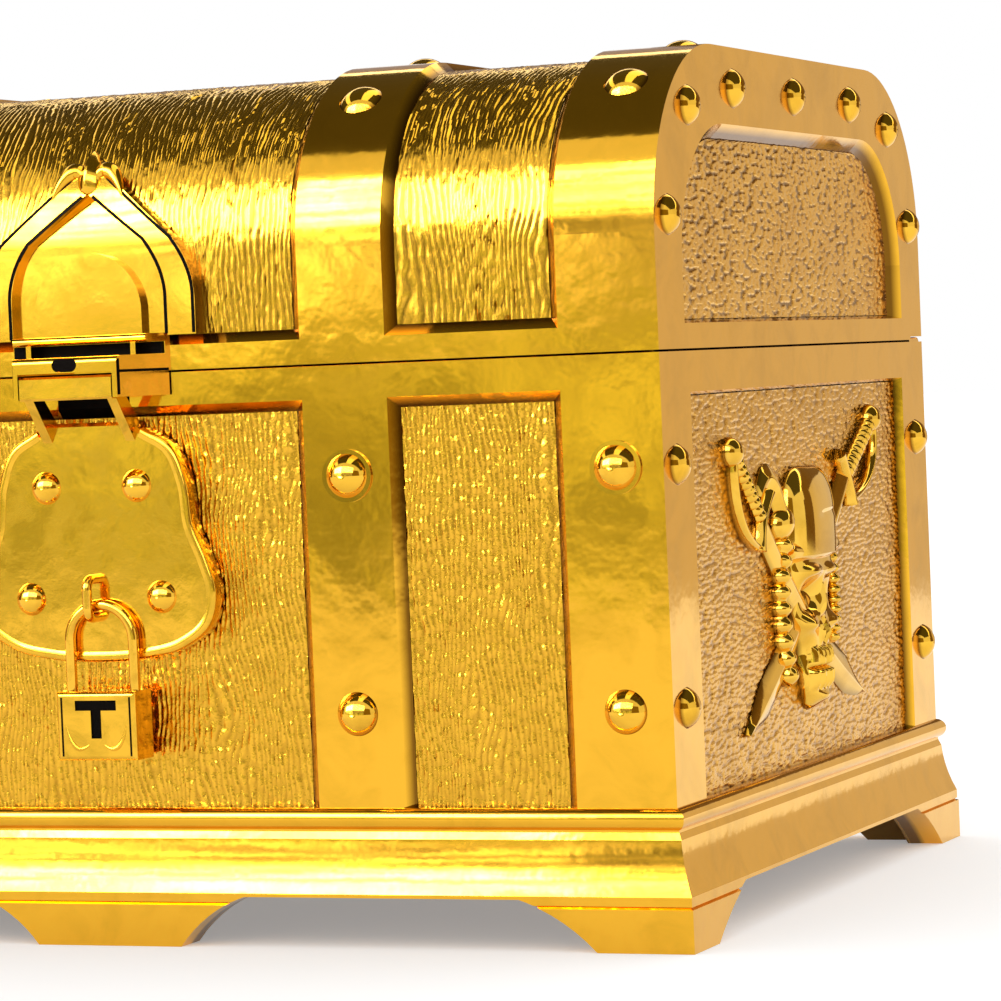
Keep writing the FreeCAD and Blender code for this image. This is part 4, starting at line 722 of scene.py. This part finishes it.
LUG_NOSE = 12.6
LUG_BAR_Z = (125.9, 129.3)
LUG_SLOT_Z = (129.35, 131.95)
LUG_SLOT_HALF = 18.1
LUG_SLOT_Y = -95.8
LUG_SLOT_DEEP = 0.7
HOLE_HALF = 1.5
HOLE_ROUND = 1.42
HOLE_SUNK = 0.25
HOLE_DEEP = 2.0
CHEEK_OUT = (0.894, -0.447)
CHEEK_PROUD = 0.06
CHEEK_SUNK = 0.3
lug_low, lug_high = corners("latch_lug")
hole_t = np.linspace(0.0, 2.0 * np.pi, 33)[:-1]
oval = np.stack([HOLE_HALF * np.sign(np.cos(hole_t)) + HOLE_ROUND * np.cos(hole_t),
                 0.5 * sum(LUG_BAR_Z) + HOLE_ROUND * np.sin(hole_t)], axis=-1)
slot = np.array([(-LUG_SLOT_HALF, LUG_SLOT_Z[0]), (LUG_SLOT_HALF, LUG_SLOT_Z[0]),
                 (LUG_SLOT_HALF, LUG_SLOT_Z[1]), (-LUG_SLOT_HALF, LUG_SLOT_Z[1])])
# Black plates of painted shade in the lug's oval hole and at the back of the slot between its top rim and its
# bar.
piece("latch_lug_hole", [plate(oval, lug_low[1] + HOLE_SUNK, HOLE_DEEP)], SHARP_CREASE, painted_shade_black, "lid",
      "gold_plating")
piece("latch_lug_slot", [plate(slot, LUG_SLOT_Y, LUG_SLOT_DEEP)], SHARP_CREASE, painted_shade_black, "lid",
      "gold_plating")


def cheek_line(hand, near, far, bottom, top):
    """Thin strip on a slanting cheek of the lug, between two shares of its depth and two heights."""
    share = np.linspace(near, far, 5)[:, None, None]
    root = np.array([hand * lug_high[0], lug_high[1], 0.0])
    nose = np.array([hand * LUG_NOSE, lug_low[1], 0.0])
    out = np.array([hand * CHEEK_OUT[0], CHEEK_OUT[1], 0.0])
    spots = root + share * (nose - root) + np.array([[0.0, 0.0, bottom], [0.0, 0.0, top]])[None]
    return slab(spots + CHEEK_PROUD * out, spots - CHEEK_SUNK * out)


# Thin black strips of painted shade on each slanting cheek: one across it, level, and one down its front
# edge.
lines = [cheek_line(hand, *span) for hand in (-1.0, 1.0)
         for span in ((0.04, 0.97, 125.6, 126.2), (0.94, 0.99, 120.8, 128.6))]
piece("latch_lug_lines", lines, SHARP_CREASE, painted_shade_black, "lid", "gold_plating")

# Shadow behind the hasp: a thin black sheet of painted shadow laid on the front rim of the box, behind the
# arms of the hasp. It runs down the rim and over the edge of the panel's recess.

HASP_SHADOW_DEEP = 0.6
shadow_z = np.array([124.0, 117.9, 115.7])[:, None]
shadow_y = np.array([-93.95, -93.95, -91.85])[:, None]
shadow_x = np.array([[-8.8, 8.8]])
face = np.stack(np.broadcast_arrays(shadow_x, shadow_y, shadow_z), axis=-1)
piece("front_hasp_shadow", [slab(face, face + np.array([0.0, HASP_SHADOW_DEEP, 0.0]))], SHARP_CREASE, painted_shade_black,
      "chest", "gold_plating")

# Hasp: a die-cast plate hung from the lug on a steel pin, plated and a little mottled, with a rounded rim,
# four dome rivets and a bent wire eye for the padlock.

HASP_TOP = 114.8
HASP_RIM_BACK = -92.35
HASP_RIM_DEEP = 4.85
HASP_RIM_HALF = 0.9
HASP_RIM_CREASE = 45.0
HASP_RIM_SECTION = np.array([(-1.0, 0.0), (0.6, 0.0), (1.0, 0.1), (1.0, 0.78), (0.9, 0.88), (0.65, 0.945),
                             (0.25, 0.985), (-0.3, 1.0), (-0.9, 0.985), (-1.5, 0.945)])

# A mottled mirror on the casting, and a clean one on the wire.
hasp_gold = plated_gold("plated die-casting, hasp", colours=("#F0B838", "#C99C2C"), rough=(0.1, 0.22),
                        cloud_mm=8.0, wave=(7.0, 0.07), grit=(1.8, 0.014))
wire_gold = plated_gold("plated wire", colours=("#F1BA3E", "#D8A234"), rough=(0.08, 0.16), cloud_mm=6.0,
                        wave=(7.0, 0.01), grit=(0.9, 0.003))
dress(hasp_gold, "hasp_plate")
dress(stud_gold, "hasp_rivets")
dress(wire_gold, "hasp_staple", "padlock_shackle")


def through(points, count):
    """Smooth path through points: between each two, a cubic with slopes from the points on either side."""
    run = np.concatenate([[0.0], np.cumsum(np.linalg.norm(np.diff(points, axis=0), axis=1))])
    slope = np.gradient(points, run, axis=0)
    at = np.linspace(0.0, run[-1], count)
    i = np.clip(np.searchsorted(run, at, side="right") - 1, 0, len(run) - 2)
    gap = (run[i + 1] - run[i])[:, None]
    t = ((at - run[i])[:, None]) / gap
    start = (1.0 + 2.0 * t) * (1.0 - t) ** 2 * points[i] + t * (1.0 - t) ** 2 * gap * slope[i]
    return start + t ** 2 * (3.0 - 2.0 * t) * points[i + 1] - t ** 2 * (1.0 - t) * gap * slope[i + 1]


half_outline = np.array([(12.6, 2.2), (19.0, 6.2), (22.2, 13.8), (23.4, 23.2), (26.4, 30.8), (28.2, 37.4),
                         (26.6, 44.2), (20.8, 48.6), (11.0, 51.0), (0.0, 51.6)])
outline = np.concatenate([half_outline, half_outline[-2::-1] * np.array([-1.0, 1.0])])
outline = through(outline, 240) * np.array([1.0, -1.0]) + np.array([0.0, HASP_TOP])
rim = bar(outline, HASP_RIM_HALF, HASP_RIM_DEEP, HASP_RIM_SECTION)
shells = laid([rim], lambda up, x, z: (x, HASP_RIM_BACK - up, z))
piece("hasp_plate_rim", shells, HASP_RIM_CREASE, hasp_gold, "hasp", "gold_hasp")

# Padlock: two plated shells on a wire shackle, hung in the eye of the hasp. Its face has a T keyhole filled
# with black painted shade, two scrolls in low relief and a thin black line of painted shade down each side.

dress(hasp_gold, "padlock_front_shell", "padlock_back_shell")
lock_low, lock_high = corners("padlock_front_shell")
lock_x = 0.5 * (lock_low[0] + lock_high[0])
lock_top = lock_high[2]
KEYHOLE_SHARE = 0.995
KEYHOLE_SUNK = 0.4
KEYHOLE_DEEP = 1.2
SCROLL_SUNK = 0.05
LOCK_LINE_X = 8.3
LOCK_LINE_HALF = 0.22
LOCK_LINE_TALL = 0.3
LOCK_LINE_SUNK = 0.26
keyhole = np.array([(-5.0, -4.1), (-1.25, -4.1), (-1.25, -10.2), (1.25, -10.2), (1.25, -4.1), (5.0, -4.1),
                    (5.0, -1.9), (-5.0, -1.9)]) * KEYHOLE_SHARE + np.array([lock_x, lock_top])
piece("padlock_keyhole", [plate(keyhole, lock_low[1] + KEYHOLE_SUNK, KEYHOLE_DEEP)], SHARP_CREASE,
      painted_shade_black, "padlock", "gold_hasp")
scrolls, borders = [], []
for hand in (-1.0, 1.0):
    path = bend((7.4 * hand, -7.4), (5.6 * hand, -14.6), (1.9 * hand, -11.6), 33)
    path = path + np.array([lock_x, lock_top])
    scrolls.append(bar(path, 0.15 + 0.35 * leaf_swell, 0.1 + 0.3 * leaf_swell, HALF_ROUND))
    path = np.stack([np.full(9, lock_x + hand * LOCK_LINE_X),
                     np.linspace(lock_low[2] + 0.9, lock_top - 1.2, 9)], axis=-1)
    borders.append(bar(path, LOCK_LINE_HALF, LOCK_LINE_TALL, STRIP))
shells = laid(scrolls, lambda up, x, z: (x, lock_low[1] + SCROLL_SUNK - up, z))
piece("padlock_scrolls", shells, ROUND_CREASE, hasp_gold, "padlock", "gold_hasp")
shells = laid(borders, lambda up, x, z: (x, lock_low[1] + LOCK_LINE_SUNK - up, z))
piece("padlock_lines", shells, ROUND_CREASE, painted_shade_black, "padlock", "gold_hasp")

# Studio: a white paper floor and surround, a long softbox high in front, and flags that the mirror skin
# shows. The flags and the softbox are seen in reflections only, so the floor keeps its even light.

camera = bpy.data.cameras.new("camera")
camera.lens = 149.475
camera.sensor_width = 36.0
camera.sensor_fit = "HORIZONTAL"
camera.clip_end = 50.0
viewer = bpy.data.objects.new("camera", camera)
bpy.context.scene.collection.objects.link(viewer)
right = (0.92704, 0.37265, -0.04166)
up = (0.02612, 0.04666, 0.99857)
back = (0.37406, -0.9268, 0.03352)
stand = (0.42327, -0.90679, 0.12458)
viewer.matrix_world = Matrix([*zip(right, up, back, stand), (0, 0, 0, 1)])
bpy.context.scene.camera = viewer


def card(name, points, code, strength=1.0):
    """A flat softbox or flag from its four corners, seen only in the mirror skin and not by way of the floor;
    gives back its shader tree and its emission node."""
    mesh = bpy.data.meshes.new(name)
    mesh.from_pydata(points, [], [(0, 1, 2, 3)])
    made = bpy.data.objects.new(name, mesh)
    bpy.context.scene.collection.objects.link(made)
    finish = bpy.data.materials.new(name)
    finish.use_nodes = True
    tree = finish.node_tree
    tree.nodes.remove(tree.nodes["Principled BSDF"])
    ray = add(tree, "ShaderNodeLightPath", {}, {})
    first = add(tree, "ShaderNodeMapRange", {"To Min": 1.0, "To Max": 0.0},
                {"Value": ray.outputs["Diffuse Depth"]})
    light = add(tree, "ShaderNodeMix", {"A": (0.0, 0.0, 0.0, 1.0), "B": linear(code)},
                {"Factor": first.outputs["Result"]}, data_type="RGBA")
    glow = add(tree, "ShaderNodeEmission", {"Strength": strength}, {"Color": light.outputs["Result"]})
    tree.links.new(glow.outputs["Emission"], tree.nodes["Material Output"].inputs["Surface"])
    mesh.materials.append(finish)
    made.visible_camera = False
    made.visible_diffuse = False
    made.visible_shadow = False
    return tree, glow


def upright(start, end, low, high):
    """Corners of an upright card over a line on the floor, between two heights."""
    return [(*start, low), (*end, low), (*end, high), (*start, high)]


def level(x, y, height):
    """Corners of a level card over a range of x and a range of y."""
    return [(x[0], y[0], height), (x[1], y[0], height), (x[1], y[1], height), (x[0], y[1], height)]


SMUDGE_BAND = (0.42, 0.6)


def smudges(tree, spot, values, dark, bright):
    """Strength from dark to bright in patches of noise, for what stands about in the room."""
    patch = add(tree, "ShaderNodeTexNoise", {"Detail": 4.0, **values}, {"Vector": spot})
    return add(tree, "ShaderNodeMapRange", {"From Min": SMUDGE_BAND[0], "From Max": SMUDGE_BAND[1],
               "To Min": dark, "To Max": bright}, {"Value": patch.outputs["Fac"]}).outputs["Result"]


tree, glow = card("softbox", [(-1.7, -1.3, 0.16), (0.9, -1.3, 0.16), (0.9, -0.95, 1.0), (-1.7, -0.95, 1.0)],
                  "#FFFFFF")
spot = add(tree, "ShaderNodeTexCoord", {}, {}).outputs["Object"]
place = add(tree, "ShaderNodeSeparateXYZ", {}, {"Vector": spot})
fade = add(tree, "ShaderNodeMapRange", {"From Min": 0.36, "From Max": 0.54, "To Min": 2.1, "To Max": 22.0},
           {"Value": place.outputs["Z"]}, interpolation_type="SMOOTHERSTEP")
patch = smudges(tree, spot, {"Scale": 16.0}, 0.2, 1.4)
fade = add(tree, "ShaderNodeMath", {}, {0: fade.outputs["Result"], 1: patch}, operation="MULTIPLY")
side = add(tree, "ShaderNodeMapRange", {"From Min": -0.38, "From Max": -0.315, "To Min": 1.1, "To Max": 0.34},
           {"Value": place.outputs["X"]}, interpolation_type="SMOOTHERSTEP")
fade = add(tree, "ShaderNodeMath", {}, {0: fade.outputs[0], 1: side.outputs["Result"]}, operation="MULTIPLY")
tree.links.new(fade.outputs[0], glow.inputs["Strength"])

tree, glow = card("far wall", upright((-2.4, -1.31), (0.9, -1.31), 0.0, 0.16), "#E2EBB0")
spot = add(tree, "ShaderNodeTexCoord", {}, {}).outputs["Object"]
tree.links.new(smudges(tree, spot, {"Scale": 21.0, "Roughness": 0.6}, 0.4, 1.55), glow.inputs["Strength"])

card("overhead flag", level((-2.0, 2.0), (-0.42, 0.78), 0.8), "#56523A")
card("back lamp", level((-2.0, 2.0), (0.78, 0.98), 0.8), "#FFFBD8", 2.6)
card("back flag", level((-2.0, 2.0), (0.98, 2.6), 0.8), "#A59A98")
card("left lamp", level((-0.85, -0.55), (-0.42, 0.75), 0.79), "#FFFBD8", 1.9)
card("right lamp", level((0.02, 0.3), (-0.42, 0.75), 0.79), "#FFFBD8", 1.9)
card("end flag", upright((0.2, 1.12), (0.85, 1.0), 0.0, 0.36), "#E2D4B6")
card("end dark, left", upright((-0.35, 1.25), (0.2, 1.13), 0.0, 0.36), "#7A6038")
card("end dark, right", upright((0.85, 1.01), (1.5, 0.7), 0.0, 0.36), "#7A6038")
card("end dark, top", upright((-0.35, 1.25), (1.5, 0.85), 0.36, 0.75), "#7A6038")
card("left flag", upright((-1.5, -0.55), (-1.5, 0.5), 0.0, 0.7), "#6B4E1E")
card("right card", upright((0.25, -1.6), (0.8, -1.41), 0.0, 0.8), "#E6CFA0")
card("right flag", upright((0.8, -1.41), (1.9, -0.8), 0.0, 0.8), "#8E7836")


def looked_at(tree, hidden, shown):
    """A value for light that falls on the object, and another where the camera, a mirror or glass looks."""
    ray = add(tree, "ShaderNodeLightPath", {}, {})
    seen = add(tree, "ShaderNodeMath", {}, {0: ray.outputs["Is Camera Ray"], 1: ray.outputs["Is Glossy Ray"]},
               operation="MAXIMUM")
    seen = add(tree, "ShaderNodeMath", {}, {0: seen.outputs[0], 1: ray.outputs["Is Transmission Ray"]},
               operation="MAXIMUM")
    return add(tree, "ShaderNodeMapRange", {"To Min": hidden, "To Max": shown},
               {"Value": seen.outputs[0]}).outputs["Result"]


world = bpy.data.worlds.new("surround")
bpy.context.scene.world = world
world.use_nodes = True
sky = world.node_tree
glow = sky.nodes["Background"]
glow.inputs["Color"].default_value = (1.0, 1.0, 1.0, 1.0)
sky.links.new(looked_at(sky, 0.95, 1.0), glow.inputs["Strength"])

floor_mesh = bpy.data.meshes.new("floor")
floor_mesh.from_pydata(level((-9, 9), (-9, 9), 0), [], [(0, 1, 2, 3)])
floor = bpy.data.objects.new("floor", floor_mesh)
bpy.context.scene.collection.objects.link(floor)
paper = bpy.data.materials.new("white paper")
paper.use_nodes = True
sheet = paper.node_tree
shader = sheet.nodes["Principled BSDF"]
shader.inputs["Base Color"].default_value = linear("#FAFAFA")
shader.inputs["Roughness"].default_value = 0.9
shader.inputs["Specular IOR Level"].default_value = 0.0
shader.inputs["Emission Color"].default_value = (1.0, 1.0, 1.0, 1.0)
sheet.links.new(looked_at(sheet, 0.0, 0.28), shader.inputs["Emission Strength"])
floor_mesh.materials.append(paper)

bpy.context.scene.view_settings.view_transform = "Standard"
